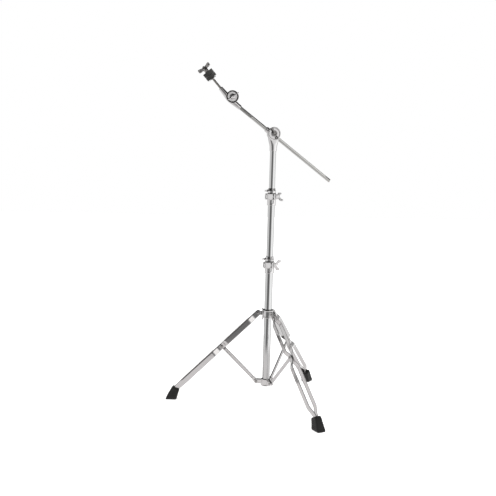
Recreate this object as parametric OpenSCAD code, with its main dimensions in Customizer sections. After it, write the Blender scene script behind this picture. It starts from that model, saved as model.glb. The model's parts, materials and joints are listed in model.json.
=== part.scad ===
// Cymbal boom stand: a double-strap folding tripod, a three-stage tube column,
// a tilting boom with an eye-bolt clamp and a small tilter that carries the cymbal rod.
// Millimetres, +Z up. The origin is the floor point under the middle of the overall box.

/* [Placing] */
// Column axis, in X from the middle of the overall box
column_x = 57; // [50:1:64]
// Column axis, in Y from the middle of the overall box
column_y = 33; // [26:1:40]

/* [Column tubes] */
// Outer radius of the base tube
base_r = 14.3; // [14.3:0.1:14.5]
// Outer radius of the middle tube
mid_r = 12.7; // [12.6:0.1:12.7]
// Outer radius of the upper tube
upper_r = 11.1; // [11:0.1:11.1]
// Wall of all three tubes
tube_wall = 1.2; // [1:0.1:1.2]
// Underside of the lower height clamp
clamp_1_z = 492; // [480:1:520]
// Underside of the upper height clamp
clamp_2_z = 745; // [720:1:760]
// Height of the boom's tilting axis
boom_z = 1007.5; // [990:0.5:1020]

/* [Tripod] */
// Direction of the first leg
leg_turn = 169; // [160:1:180]
// Distance from the column axis to the leg and stay pivots
pivot_r = 36.5; // [36:0.5:38]
// Height of the leg pivots on the sliding collar
collar_z = 341; // [330:1:350]
// Height of the stay pivots on the fixed bracket
bracket_z = 79.5; // [76:0.5:84]
// Pivot-to-pivot length of a stay, and of the leg's upper part
link_len = 186; // [184:1:190]
// Depth of a leg strap, seen from the side
strap_depth = 21; // [19:1:22]
// Half width across a leg where its straps stand apart
leg_half = 16.2; // [14:0.2:17]
// Thickness of the strap's sheet
sheet = 1.8; // [1.5:0.1:2]

/* [Boom] */
// Angle of the boom above horizontal
boom_angle = 36.4; // [30:0.2:45]
// Angle of the cymbal rod above horizontal
cymbal_angle = 47.8; // [45:0.2:60]
// Radius of the boom rod
rod_r = 6.35; // [6:0.05:6.35]
// How far the boom rod stands behind the column axis
boom_y = 25; // [24:0.5:27]
// Tail of the boom rod, behind the tilting axis
tail = 280; // [240:5:300]
// Tilting axis to the cymbal tilter's axis, along the rod
tilter_at = 200; // [190:1:220]
// Tilter axis to the rods' axes
tilter_off = 13; // [12:0.5:14]

/* [Cymbal seat] */
// Radius of the cymbal rod
cymbal_rod_r = 4; // [3.9:0.1:4]
// Radius of the felts
felt_r = 20; // [17:0.5:20]
// Radius of the nylon sleeve that the cymbal's hole sits on
sleeve_r = 5.6; // [5.5:0.1:5.7]

/* [Hidden] */
$fn = 64;

chrome = "silver";
satin = "darkgray";
black = "#202020";
nylon = "#3a3a3a";

// Clearances: between parts that turn or slide, and between parts fixed together
run = 0.05;
seat = 0.02;
side_gap = 0.1;
blade_t = 4.4;

// Leg and stay: both stand at the same angle to the vertical, so the collar rises straight
link_angle = acos((collar_z - bracket_z) / (2 * link_len));
link_dip = 90 - link_angle;
leg_turns = [leg_turn, leg_turn - 120, leg_turn - 240];
pin_r = 3;
lug_r = 8.5;
stay_w = 6;
stay_depth = 16;
lug_w = 8;
strap_end = 432;
flange = 2.6;
top_half = lug_w / 2 + side_gap + sheet;
stay_half = stay_w / 2 + side_gap + sheet;
foot_half = 5.5;
flange_start = 14;
stay_room = [158, 215];
// Outer face of a strap: [distance from the collar pivot, distance from the leg's middle]
strap_line = [
    [0, top_half], [22, top_half], [44, leg_half], [166, leg_half],
    [178, stay_half], [204, stay_half], [226, leg_half], [386, leg_half],
    [418, foot_half], [strap_end, foot_half]
];

// Rubber foot: bottom and top edges seen from the side, in [radius, height]
foot_side = [[337, 0], [379, 0], [375, 12], [352, 51], [326, 38], [334, 14]];
foot_base_half = 17;
foot_top_half = 12.5;
foot_top = 52;

// Bracket, collar
bracket_bottom = 63;
bracket_top = 91;
bracket_ring_r = 18.5;
cheek_t = 4;
bracket_half = stay_w / 2 + side_gap + cheek_t;
collar_bottom = 324;
collar_top = 354;
collar_bush_r = base_r + 2;
collar_ring_r = 20;
collar_bolt_turn = leg_turn - 60;
collar_bolt_z = 331;
collar_boss_x = 27;

// Height clamps
sleeve_h = 22;
block_h = 22;
bush_wall = 2.2;
bush_lip = 1.2;
sleeve_wall = 3.4;
block_wall = 4.2;
ear_left = 27;
ear_right = 8.5;
slot_w = 3.4;
bolt_r = 4;
bolt_out = 8.6;
hub_r = 9.5;
nut_w = 13;
nut_depth = 6;
lock_h = 18;
lock_wall = 4.2;
key_r = 3;
base_tube_bottom = 68;
mid_tube_len = 450;
upper_tube_len = 400;
base_tube_top = clamp_1_z + sleeve_h - 0.5;
mid_tube_top = clamp_2_z + sleeve_h - 0.5;
socket_bottom = 944;
upper_tube_top = socket_bottom + 28;

// Boom tilter
disc_r = 24;
cheek_back = -1;
cheek_front = -13;
holder_back = 12;
sleeve_out_r = 10;
eye_half = 4.5;
eye_r = 10.5;
nut_seat = cheek_front - 0.1;

// Cymbal tilter, measured from the plane of the boom
tilter_r = 22.5;
tilter_face = 9;
tilter_split = 0.55;
tilter_socket_end = 48;
top_socket_end = 52;
rim_depth = 2;
tilter_screw_seat = 9.1;
boom_rod_end = tilter_at - 23.5;
cymbal_rod_start = 21.5;

// Stack on the cymbal rod, measured from the tilter along the rod
cup_at = 93.5;
cup_h = 1.9;
flange_at = cup_at + cup_h + 0.1;
flange_h = 1.5;
sleeve_top = 124;
lower_felt_at = flange_at + flange_h + 0.1;
upper_felt_at = 111;
upper_felt_top = 126.2;
felt_bore = sleeve_r + 1;
wing_nut_at = 126.5;
rod_top = 150;

// ---------- frames ----------
module column_frame() { translate([column_x, column_y, 0]) children(); }

module leg_side(i) { column_frame() rotate([0, 0, leg_turns[i]]) children(); }

// X runs down the leg from the collar pivot, Y across it, Z out of its upper side
module leg_frame(i) {
    leg_side(i) translate([pivot_r, 0, collar_z]) rotate([0, link_dip, 0]) children();
}

// X runs up the stay from the bracket pivot
module stay_frame(i) {
    leg_side(i) translate([pivot_r, 0, bracket_z]) rotate([0, -link_dip, 0]) children();
}

// X runs up the boom rod from the tilting axis, Z out of its underside
module boom_frame() {
    column_frame() translate([0, boom_y, boom_z]) rotate([0, 180 + boom_angle, 0]) children();
}

// The cymbal tilter's axis, with X parallel to the boom rod
module tilter_frame() { boom_frame() translate([tilter_at, 0, -tilter_off]) children(); }

// X runs up the cymbal rod, from beside the tilter's axis
module cymbal_frame() {
    tilter_frame() rotate([0, cymbal_angle - boom_angle, 0])
        translate([0, 0, tilter_off]) children();
}

// ---------- shared shapes ----------
module x_rod(r, from, to) {
    translate([from, 0, 0]) rotate([0, 90, 0]) cylinder(r = r, h = to - from);
}

module x_cone(r_from, r_to, from, to) {
    translate([from, 0, 0]) rotate([0, 90, 0])
        cylinder(r1 = r_from, r2 = r_to, h = to - from);
}

module y_rod(r, from, to) {
    translate([0, from, 0]) rotate([-90, 0, 0]) cylinder(r = r, h = to - from);
}

module tube(r, wall, from, to) {
    translate([0, 0, from]) difference() {
        cylinder(r = r, h = to - from);
        translate([0, 0, -1]) cylinder(r = r - wall, h = to - from + 2);
    }
}

module ring_on_x(r, bore, from, to) {
    difference() {
        x_rod(r, from, to);
        x_rod(bore, from - 1, to + 1);
    }
}

// One wing blade, in the XZ plane, with the hub's axis on Z; its lower edge rises by sweep
module wing_blade(hub_r, half_span, low, high, sweep) {
    corner = 3;
    root = hub_r - 2.5;
    tip = half_span - corner;
    tip_low = low + sweep;
    rotate([90, 0, 0]) linear_extrude(height = blade_t, center = true) union() {
        polygon([
            [root, low], [tip - 2, tip_low - 1.1], [tip, tip_low],
            [tip, high], [tip - 4, high], [root, low + 10]
        ]);
        translate([tip, high - corner]) circle(r = corner);
        translate([tip, tip_low + corner]) circle(r = corner);
        translate([tip, tip_low + corner]) square([corner, high - tip_low - 2 * corner]);
    }
}

// Hub with two blades; the hub stands on Z = 0 and the blades lean away from it
module wing(hub_r, hub_h, half_span, low, high, sweep = 6.6) {
    cylinder(r = hub_r, h = hub_h * 0.6);
    translate([0, 0, hub_h * 0.6]) cylinder(r1 = hub_r, r2 = hub_r - 1.6, h = hub_h * 0.4);
    wing_blade(hub_r, half_span, low, high, sweep);
    rotate([0, 0, 180]) wing_blade(hub_r, half_span, low, high, sweep);
}

// ---------- base ----------
module base_tube() {
    color(chrome) column_frame() tube(base_r, tube_wall, base_tube_bottom, base_tube_top);
}

module base_plug() {
    color(black) column_frame() union() {
        translate([0, 0, base_tube_bottom - 3]) cylinder(r = base_r, h = 2.95);
        translate([0, 0, base_tube_bottom - 0.1])
            cylinder(r = base_r - tube_wall - seat, h = 16);
    }
}

module stay_bracket() {
    color(chrome) column_frame() difference() {
        union() {
            translate([0, 0, bracket_bottom])
                cylinder(r = bracket_ring_r, h = bracket_top - bracket_bottom);
            for (turn = leg_turns, side = [-1, 1]) rotate([0, 0, turn])
                translate([0, side * (bracket_half - cheek_t / 2), 0]) {
                    translate([10, -cheek_t / 2, bracket_z - lug_r])
                        cube([pivot_r - 10, cheek_t, 2 * lug_r]);
                    translate([pivot_r, 0, bracket_z])
                        y_rod(lug_r, -cheek_t / 2, cheek_t / 2);
                }
        }
        translate([0, 0, bracket_bottom - 1])
            cylinder(r = base_r + seat, h = bracket_top - bracket_bottom + 2);
        for (turn = leg_turns) rotate([0, 0, turn])
            translate([pivot_r, 0, bracket_z]) y_rod(pin_r + seat, -10, 10);
    }
}

module stay_pins() {
    color(satin) for (i = [0 : 2]) leg_side(i) translate([pivot_r, 0, bracket_z]) {
        y_rod(pin_r, -bracket_half - 0.1, bracket_half + 0.1);
        y_rod(5, bracket_half + seat, bracket_half + 1.5);
        y_rod(5, -bracket_half - 1.5, -bracket_half - seat);
    }
}

// ---------- stays ----------
module stay(i) {
    color(chrome) stay_frame(i) difference() {
        union() {
            y_rod(stay_depth / 2, -stay_w / 2, stay_w / 2);
            translate([link_len, 0, 0]) y_rod(stay_depth / 2, -stay_w / 2, stay_w / 2);
            translate([0, -stay_w / 2, -5]) cube([link_len, stay_w, 10]);
            for (side = [-1, 1]) translate([0, 0, side * (stay_depth - stay_w) / 2])
                x_rod(stay_w / 2, 2, link_len - 2);
        }
        y_rod(pin_r + run, -10, 10);
        translate([link_len, 0, 0]) y_rod(pin_r + run, -10, 10);
    }
}

module stay_1() { stay(0); }
module stay_2() { stay(1); }
module stay_3() { stay(2); }

// ---------- legs ----------
// A band along the strap's line, from its outer face inwards
module strap_band(inwards, height) {
    outer = strap_line;
    inner = [for (k = [len(strap_line) - 1 : -1 : 0]) strap_line[k] - [0, inwards]];
    linear_extrude(height = height, center = true) polygon(concat(outer, inner));
}

module strap_flange(from, to, side) {
    intersection() {
        translate([0, 0, side * (strap_depth - sheet) / 2]) strap_band(flange, sheet);
        translate([from, -5, -strap_depth]) cube([to - from, 30, 2 * strap_depth]);
    }
}

module strap(i, side) {
    color(chrome) leg_frame(i) mirror([0, side < 0 ? 1 : 0, 0])
    difference() {
        union() {
            strap_band(sheet, strap_depth);
            y_rod(strap_depth / 2, top_half - sheet, top_half);
            strap_flange(flange_start, strap_end, 1);
            strap_flange(flange_start, stay_room[0], -1);
            strap_flange(stay_room[1], strap_end, -1);
        }
        y_rod(pin_r + run, 0, 20);
        translate([link_len, 0, 0]) y_rod(pin_r + seat, 0, 20);
    }
}

module leg_1_strap_left() { strap(0, 1); }
module leg_1_strap_right() { strap(0, -1); }
module leg_2_strap_left() { strap(1, 1); }
module leg_2_strap_right() { strap(1, -1); }
module leg_3_strap_left() { strap(2, 1); }
module leg_3_strap_right() { strap(2, -1); }

module leg_rivet(i) {
    color(satin) leg_frame(i) translate([link_len, 0, 0]) {
        y_rod(pin_r, -stay_half - 0.1, stay_half + 0.1);
        y_rod(5.2, stay_half + seat, stay_half + 1.8);
        y_rod(5.2, -stay_half - 1.8, -stay_half - seat);
    }
}

module leg_1_rivet() { leg_rivet(0); }
module leg_2_rivet() { leg_rivet(1); }
module leg_3_rivet() { leg_rivet(2); }

module foot(i) {
    color(black) difference() {
        leg_side(i) intersection() {
            rotate([90, 0, 0]) linear_extrude(height = 60, center = true)
                polygon(foot_side);
            rotate([90, 0, 90]) linear_extrude(height = 400) polygon([
                [-foot_base_half, 0], [foot_base_half, 0],
                [foot_base_half, 8], [foot_top_half, foot_top],
                [-foot_top_half, foot_top], [-foot_base_half, 8]
            ]);
        }
        leg_frame(i) translate([400, -foot_half - side_gap, -strap_depth / 2 - side_gap])
            cube([strap_end - 400 + side_gap, 2 * (foot_half + side_gap),
                strap_depth + 2 * side_gap]);
    }
}

module leg_1_foot() { foot(0); }
module leg_2_foot() { foot(1); }
module leg_3_foot() { foot(2); }

// ---------- sliding collar ----------
module leg_collar() {
    color(chrome) column_frame() difference() {
        union() {
            translate([0, 0, collar_bottom])
                cylinder(r = collar_ring_r, h = collar_top - collar_bottom);
            for (turn = leg_turns) rotate([0, 0, turn]) {
                translate([12, -lug_w / 2, collar_z - lug_r + 1])
                    cube([pivot_r - 12, lug_w, 2 * lug_r - 2]);
                translate([pivot_r, 0, collar_z]) y_rod(lug_r - 1, -lug_w / 2, lug_w / 2);
            }
            rotate([0, 0, collar_bolt_turn]) translate([0, 0, collar_bolt_z])
                x_rod(7, 12, collar_boss_x);
        }
        translate([0, 0, collar_bottom - 1])
            cylinder(r = collar_bush_r + seat, h = collar_top - collar_bottom + 2);
        for (turn = leg_turns) rotate([0, 0, turn])
            translate([pivot_r, 0, collar_z]) y_rod(pin_r + seat, -10, 10);
        rotate([0, 0, collar_bolt_turn]) translate([0, 0, collar_bolt_z])
            x_rod(bolt_r + run, 5, collar_boss_x + 1);
    }
}

module collar_bush() {
    lip_r = collar_ring_r - 1;
    lip_top = collar_top + 1.6;
    color(nylon) column_frame() union() {
        tube(collar_bush_r, 2 - run, collar_bottom, lip_top);
        tube(lip_r, lip_r - base_r - run, collar_top + seat, lip_top);
    }
}

module collar_pins() {
    color(satin) for (i = [0 : 2]) leg_side(i) translate([pivot_r, 0, collar_z]) {
        y_rod(pin_r, -top_half - 0.3, top_half + 0.3);
        y_rod(5.2, top_half + side_gap, top_half + 1.8);
        y_rod(5.2, -top_half - 1.8, -top_half - side_gap);
    }
}

module collar_wing_bolt() {
    color(chrome) column_frame() rotate([0, 0, collar_bolt_turn])
        translate([0, 0, collar_bolt_z]) {
            x_rod(bolt_r, collar_bush_r + 0.2, collar_boss_x + 2);
            translate([collar_boss_x + side_gap, 0, 0]) rotate([0, 90, 0])
                wing(7, 11, 23, 2, 17);
        }
}

// ---------- height clamps ----------
module clamp_body(z, out_r, in_r) {
    bolt_y = -(out_r + bolt_out);
    ear_front = bolt_y - 6.5;
    bush_out = in_r + bush_wall;
    color(chrome) column_frame() translate([0, 0, z]) difference() {
        union() {
            cylinder(r = out_r + sleeve_wall, h = sleeve_h);
            translate([0, 0, sleeve_h]) cylinder(r = out_r + block_wall, h = block_h);
            translate([-ear_left, ear_front, sleeve_h])
                cube([ear_left + ear_right, -ear_front - 6, block_h]);
        }
        translate([0, 0, -1]) cylinder(r = out_r + seat, h = sleeve_h + 1.01);
        translate([0, 0, sleeve_h]) cylinder(r = bush_out + seat, h = block_h + 1);
        translate([-slot_w / 2, ear_front - 1, sleeve_h - 4])
            cube([slot_w, -ear_front + 1 - 6, block_h + 5]);
        translate([0, 0, sleeve_h - 11]) y_rod(4.2, -40, -6);
        translate([-4.2, -40, sleeve_h - 11]) cube([8.4, 34, 7]);
        translate([0, bolt_y, sleeve_h + block_h / 2])
            x_rod(bolt_r + run, -ear_left - 1, ear_right + 1);
        translate([-ear_left - 1, bolt_y - nut_w / 2 - 0.1, sleeve_h + (block_h - nut_w) / 2 - 0.1])
            cube([nut_depth + 1.1, nut_w + 0.2, nut_w + 0.2]);
        translate([0, bolt_y, sleeve_h + block_h / 2]) x_rod(hub_r + 0.4, ear_right, 40);
    }
}

module clamp_bush(z, in_r) {
    color(nylon) column_frame() translate([0, 0, z + sleeve_h]) difference() {
        union() {
            cylinder(r = in_r + bush_wall, h = block_h + bush_lip);
            translate([0, 0, block_h + seat])
                cylinder(r = in_r + bush_wall + 1.2, h = bush_lip - seat);
        }
        translate([0, 0, -1]) cylinder(r = in_r + run, h = block_h + 4);
        translate([-1, -30, -1]) cube([2, 30, block_h + 4]);
    }
}

module clamp_wing_bolt(z, out_r, roll) {
    color(chrome) column_frame()
        translate([0, -(out_r + bolt_out), z + sleeve_h + block_h / 2]) {
            x_rod(bolt_r, -ear_left + 0.5, ear_right + 2);
            translate([ear_right + side_gap, 0, 0]) rotate([roll, 0, 0])
                rotate([0, 90, 0]) wing(hub_r, 14, 25, 7, 27);
        }
}

module clamp_nut(z, out_r) {
    color(satin) column_frame()
        translate([0, -(out_r + bolt_out), z + sleeve_h + block_h / 2]) difference() {
            translate([-ear_left - 0.8, -nut_w / 2, -nut_w / 2])
                cube([nut_depth + 0.8, nut_w, nut_w]);
            x_rod(bolt_r + run, -40, 0);
        }
}

module memory_lock(z, in_r) {
    color(chrome) column_frame() translate([0, 0, z + sleeve_h + block_h + bush_lip + 0.1])
        difference() {
            union() {
                cylinder(r = in_r + lock_wall, h = 8);
                translate([0, 0, 8])
                    cylinder(r1 = in_r + lock_wall, r2 = in_r + 2, h = lock_h - 8);
                translate([0, 0, 8]) x_rod(4.6, -in_r - 7, -in_r - 1);
            }
            translate([0, 0, -1]) cylinder(r = in_r + run, h = lock_h + 2);
            translate([0, 0, 8]) x_rod(key_r + run, -in_r - 8, -in_r + 2);
            translate([-1, -30, -1]) cube([2, 30, lock_h + 2]);
        }
}

module lock_key_bolt(z, in_r) {
    color(satin) column_frame()
        translate([-in_r, 0, z + sleeve_h + block_h + bush_lip + 8.1]) {
            x_rod(key_r, -9, -0.5);
            x_rod(4.4, -8.6, -7.1);
            translate([-15.5, -2.9, -2.9]) cube([7, 5.8, 5.8]);
        }
}

module clamp_1_body() { clamp_body(clamp_1_z, base_r, mid_r); }
module clamp_1_bush() { clamp_bush(clamp_1_z, mid_r); }
module clamp_1_wing_bolt() { clamp_wing_bolt(clamp_1_z, base_r, 35); }
module clamp_1_nut() { clamp_nut(clamp_1_z, base_r); }
module memory_lock_1() { memory_lock(clamp_1_z, mid_r); }
module lock_1_key_bolt() { lock_key_bolt(clamp_1_z, mid_r); }
module clamp_2_body() { clamp_body(clamp_2_z, mid_r, upper_r); }
module clamp_2_bush() { clamp_bush(clamp_2_z, upper_r); }
module clamp_2_wing_bolt() { clamp_wing_bolt(clamp_2_z, mid_r, -55); }
module clamp_2_nut() { clamp_nut(clamp_2_z, mid_r); }
module memory_lock_2() { memory_lock(clamp_2_z, upper_r); }
module lock_2_key_bolt() { lock_key_bolt(clamp_2_z, upper_r); }

module mid_tube() {
    color(chrome) column_frame()
        tube(mid_r, tube_wall, mid_tube_top - mid_tube_len, mid_tube_top);
}

module upper_tube() {
    color(chrome) column_frame()
        tube(upper_r, tube_wall, upper_tube_top - upper_tube_len, upper_tube_top);
}

// ---------- boom tilter ----------
module boom_socket() {
    color(chrome) column_frame() difference() {
        union() {
            intersection() {
                translate([0, 0, socket_bottom]) rotate_extrude() polygon([
                    [0, 0], [13.2, 0], [13.6, 14], [15.5, 28], [20.5, 46],
                    [20.5, 58], [0, 58]
                ]);
                translate([-30, cheek_front, socket_bottom - 1])
                    cube([60, 27, 70]);
            }
            translate([0, 0, boom_z]) y_rod(disc_r, cheek_front, cheek_back);
        }
        translate([0, 0, boom_z]) y_rod(disc_r + 0.6, cheek_back, 40);
        translate([0, 0, boom_z]) y_rod(bolt_r + run, -40, 40);
        translate([0, 0, socket_bottom - 1]) cylinder(r = upper_r + seat, h = 29.1);
    }
}

module tilt_washer() {
    color(nylon) column_frame() translate([0, 0, boom_z]) difference() {
        y_rod(disc_r - 2, cheek_back + run, -seat);
        y_rod(bolt_r + seat, -10, 10);
    }
}

module rod_holder() {
    color(chrome) difference() {
        union() {
            column_frame() translate([0, 0, boom_z]) y_rod(disc_r - 0.5, 0, holder_back);
            boom_frame() x_rod(sleeve_out_r, -24, 30);
            boom_frame() translate([-15, holder_back - boom_y - 1, -8.5])
                cube([30, boom_y - holder_back + 1, 17]);
        }
        boom_frame() x_rod(rod_r + run, -60, 60);
        boom_frame() x_rod(eye_r + 0.3, -eye_half - 0.3, eye_half + 0.3);
        column_frame() translate([0, 0, boom_z]) y_rod(bolt_r + seat, -20, boom_y);
    }
}

module eye_bolt() {
    color(satin) boom_frame() difference() {
        union() {
            x_rod(eye_r, -eye_half, eye_half);
            y_rod(bolt_r, -boom_y - 24, -rod_r - 1);
        }
        x_rod(rod_r + run, -10, 10);
    }
}

module boom_wing_nut() {
    color(chrome) column_frame() translate([0, nut_seat, boom_z]) rotate([90, 0, 0])
        rotate([0, 0, 119]) difference() {
            wing(9, 14, 24, 4, 19);
            translate([0, 0, -1]) cylinder(r = bolt_r + run, h = 20);
        }
}

// ---------- boom rod and cymbal tilter ----------
module boom_rod() {
    color(chrome) boom_frame()
        ring_on_x(rod_r, rod_r - 1.5, -tail, boom_rod_end);
}

module boom_rod_cap() {
    color(satin) boom_frame() union() {
        x_rod(rod_r, -tail - 2.5, -tail - seat);
        x_rod(rod_r - 1.5 - seat, -tail - 1, -tail + 10);
    }
}

module tilter_base() {
    color(chrome) difference() {
        union() {
            tilter_frame() y_rod(tilter_r, -tilter_face, -tilter_split);
            boom_frame() x_cone(8.2, 10.8, tilter_at - tilter_socket_end, tilter_at - 4);
        }
        tilter_frame() y_rod(tilter_r + 0.5, -tilter_split, 30);
        tilter_frame() difference() {
            y_rod(tilter_r - 3.4, -tilter_face - 1, -tilter_face + rim_depth);
            y_rod(10, -20, 0);
        }
        boom_frame() x_rod(rod_r + seat, 100, boom_rod_end + 0.1);
        tilter_frame() y_rod(bolt_r + run, -30, 30);
    }
}

module tilter_washer() {
    color(nylon) tilter_frame() difference() {
        y_rod(tilter_r - 1, -tilter_split + seat, tilter_split - run);
        y_rod(bolt_r + run, -5, 5);
    }
}

module tilter_wing_screw() {
    color(chrome) tilter_frame() {
        y_rod(bolt_r, -tilter_screw_seat - 1, tilter_face - 1);
        translate([0, -tilter_screw_seat, 0]) rotate([90, 0, 0])
            rotate([0, 0, 72]) wing(8.5, 10, 24, 2, 16);
    }
}

module tilter_top() {
    color(chrome) difference() {
        union() {
            tilter_frame() y_rod(tilter_r, tilter_split, tilter_face);
            cymbal_frame() x_cone(10.8, 7.4, 4, top_socket_end);
        }
        tilter_frame() y_rod(tilter_r + 0.5, -30, tilter_split);
        cymbal_frame() x_rod(cymbal_rod_r + seat, cymbal_rod_start - 0.1, 80);
        tilter_frame() y_rod(bolt_r + run, -10, 20);
    }
}

// ---------- cymbal seat ----------
module cymbal_rod() { color(satin) cymbal_frame() x_rod(cymbal_rod_r, cymbal_rod_start, rod_top); }

module seat_cup() {
    color(chrome) cymbal_frame()
        ring_on_x(15, cymbal_rod_r + seat, cup_at, cup_at + cup_h);
}

module cymbal_sleeve() {
    color(black) cymbal_frame() difference() {
        union() {
            x_rod(sleeve_r + 4, flange_at, flange_at + flange_h);
            x_rod(sleeve_r, flange_at, sleeve_top);
        }
        x_rod(cymbal_rod_r + run, flange_at - 1, sleeve_top + 1);
    }
}

module lower_felt() {
    color(black) cymbal_frame() ring_on_x(felt_r, felt_bore, lower_felt_at, upper_felt_at - 0.1);
}

module upper_felt() {
    color(black) cymbal_frame() ring_on_x(felt_r, felt_bore, upper_felt_at, upper_felt_top);
}

module cymbal_wing_nut() {
    color(chrome) cymbal_frame() translate([wing_nut_at, 0, 0]) rotate([0, 90, 0])
        difference() {
            wing(8, 15, 25.5, 9.5, 24, sweep = 1.5);
            translate([0, 0, -1]) cylinder(r = cymbal_rod_r + run, h = 30);
        }
}

base_tube();
base_plug();
stay_bracket();
stay_pins();
stay_1();
stay_2();
stay_3();
leg_1_strap_left();
leg_1_strap_right();
leg_1_rivet();
leg_1_foot();
leg_2_strap_left();
leg_2_strap_right();
leg_2_rivet();
leg_2_foot();
leg_3_strap_left();
leg_3_strap_right();
leg_3_rivet();
leg_3_foot();
leg_collar();
collar_bush();
collar_pins();
collar_wing_bolt();
clamp_1_body();
clamp_1_bush();
clamp_1_wing_bolt();
clamp_1_nut();
memory_lock_1();
lock_1_key_bolt();
mid_tube();
clamp_2_body();
clamp_2_bush();
clamp_2_wing_bolt();
clamp_2_nut();
memory_lock_2();
lock_2_key_bolt();
upper_tube();
boom_socket();
tilt_washer();
rod_holder();
eye_bolt();
boom_wing_nut();
boom_rod();
boom_rod_cap();
tilter_base();
tilter_washer();
tilter_wing_screw();
tilter_top();
cymbal_rod();
seat_cup();
cymbal_sleeve();
lower_felt();
upper_felt();
cymbal_wing_nut();
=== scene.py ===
import json
import math

import bpy
import numpy as np
from mathutils import Matrix, Vector, noise

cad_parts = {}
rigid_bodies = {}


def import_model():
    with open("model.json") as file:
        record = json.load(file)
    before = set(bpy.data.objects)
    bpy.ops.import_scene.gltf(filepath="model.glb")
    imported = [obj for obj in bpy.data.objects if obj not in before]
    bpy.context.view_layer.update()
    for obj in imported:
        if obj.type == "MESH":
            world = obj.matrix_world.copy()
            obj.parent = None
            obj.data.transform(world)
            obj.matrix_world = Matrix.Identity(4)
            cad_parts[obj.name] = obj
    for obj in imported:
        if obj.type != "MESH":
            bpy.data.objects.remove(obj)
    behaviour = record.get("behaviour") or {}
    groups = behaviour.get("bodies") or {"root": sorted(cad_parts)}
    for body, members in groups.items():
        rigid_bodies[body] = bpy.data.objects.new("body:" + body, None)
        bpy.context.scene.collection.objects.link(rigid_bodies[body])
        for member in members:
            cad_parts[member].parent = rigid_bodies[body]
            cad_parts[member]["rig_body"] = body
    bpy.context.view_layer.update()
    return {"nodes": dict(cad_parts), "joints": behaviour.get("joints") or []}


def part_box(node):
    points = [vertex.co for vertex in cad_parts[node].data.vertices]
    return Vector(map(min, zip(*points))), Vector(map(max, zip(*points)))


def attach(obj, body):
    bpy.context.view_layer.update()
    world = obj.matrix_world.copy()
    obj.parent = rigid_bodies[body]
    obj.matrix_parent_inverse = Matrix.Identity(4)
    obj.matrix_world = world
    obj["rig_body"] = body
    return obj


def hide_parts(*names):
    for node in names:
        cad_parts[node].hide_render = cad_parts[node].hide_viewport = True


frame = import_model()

MM = 0.001
X, Y, Z = Vector((1, 0, 0)), Vector((0, 1, 0)), Vector((0, 0, 1))
JOINTS = {joint["name"]: joint for joint in frame["joints"]}


# ---- Places, all read from the frame
def joint_at(name):
    """A joint's position, in metres."""
    return Vector(JOINTS[name]["pos_m"])


def joint_axis(name):
    """A joint's direction."""
    return Vector(JOINTS[name]["axis"]).normalized()


def place(origin, x_axis, y_axis):
    """Matrix from millimetres in a local frame to metres in the shared frame."""
    turn = Matrix((x_axis, y_axis, x_axis.cross(y_axis))).transposed().to_4x4()
    return Matrix.Translation(origin) @ turn @ Matrix.Scale(MM, 4)


def extent(node, matrix):
    """A CAD node's lowest and highest corners in a local frame, in millimetres."""
    mesh = frame["nodes"][node].data
    points = np.empty(len(mesh.vertices) * 3)
    mesh.vertices.foreach_get("co", points)
    inverse = np.array(matrix.inverted())
    local = points.reshape(-1, 3) @ inverse[:3, :3].T + inverse[:3, 3]
    return Vector(local.min(0)), Vector(local.max(0))


foot_of_column = joint_at("lock_1_swivel")
foot_of_column.z = 0
COLUMN = place(foot_of_column, X, Y)
UP = place(foot_of_column, Z, X)

rod_way = joint_axis("boom_rod_slide")
tilt_pin = joint_at("boom_tilt")
cymbal_way = joint_axis("upper_felt_lift")
tilter_pin = joint_at("tilter_screw_turn")
on_cymbal_rod = joint_at("cymbal_nut_turn")
beside_pin = on_cymbal_rod + cymbal_way * (tilter_pin - on_cymbal_rod).dot(cymbal_way)
BOOM = place(Vector((tilt_pin.x, tilter_pin.y, tilt_pin.z)), rod_way, Y)
TILTER = place(tilter_pin, rod_way, Y)
CYMBAL = place(beside_pin, cymbal_way, Y)
TOP_TILTER = place(tilter_pin, cymbal_way, Y)
BOOM_Y = (COLUMN.inverted() @ tilter_pin).y
TILTER_OFF = (TOP_TILTER.inverted() @ beside_pin).z


def leg_places(number):
    """Side, leg and stay frames of one leg, and the pivot-to-pivot length of its stay."""
    stay_pin = joint_at(f"stay_{number}_fold")
    leg_pin = joint_at(f"leg_{number}_fold")
    axis = joint_axis(f"stay_{number}_fold")
    outward = Vector((-axis.y, axis.x, 0))
    sideways = Z.cross(outward)
    collar_pin = Vector((stay_pin.x, stay_pin.y, 2 * leg_pin.z - stay_pin.z))
    side = place(foot_of_column, outward, sideways)
    leg = place(collar_pin, (leg_pin - collar_pin).normalized(), sideways)
    stay = place(stay_pin, (leg_pin - stay_pin).normalized(), sideways)
    return side, leg, stay, (leg_pin - stay_pin).length / MM


LEGS = {number: leg_places(number) for number in (1, 2, 3)}
LINK = LEGS[1][3]
PIVOT = LEGS[1][0].inverted() @ joint_at("stay_1_fold")
PIVOT_R, STAY_PIN_Z = PIVOT.x, PIVOT.z
LEG_PIN_Z = 2 * (LEGS[1][0].inverted() @ joint_at("leg_1_fold")).z - STAY_PIN_Z
LEG_TURNS = [math.degrees(math.atan2(s.col[0][1], s.col[0][0])) for s, *_ in LEGS.values()]


# ---- Distance fields, in millimetres
def blend_min(a, b, k):
    """Union of two fields with a fillet of about k."""
    h = np.maximum(k - np.abs(a - b), 0) / k
    return np.minimum(a, b) - h * h * k / 4


def blend_max(a, b, k):
    """Intersection of two fields with a rounding of about k."""
    return -blend_min(-a, -b, k)


def join(k, *fields):
    """Union of several fields, with fillets."""
    total = fields[0]
    for part in fields[1:]:
        total = blend_min(total, part, k)
    return total


def cut(body, tool, k=0.6):
    """A body less a tool, with the new edge rounded."""
    return blend_max(body, -tool, k)


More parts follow.
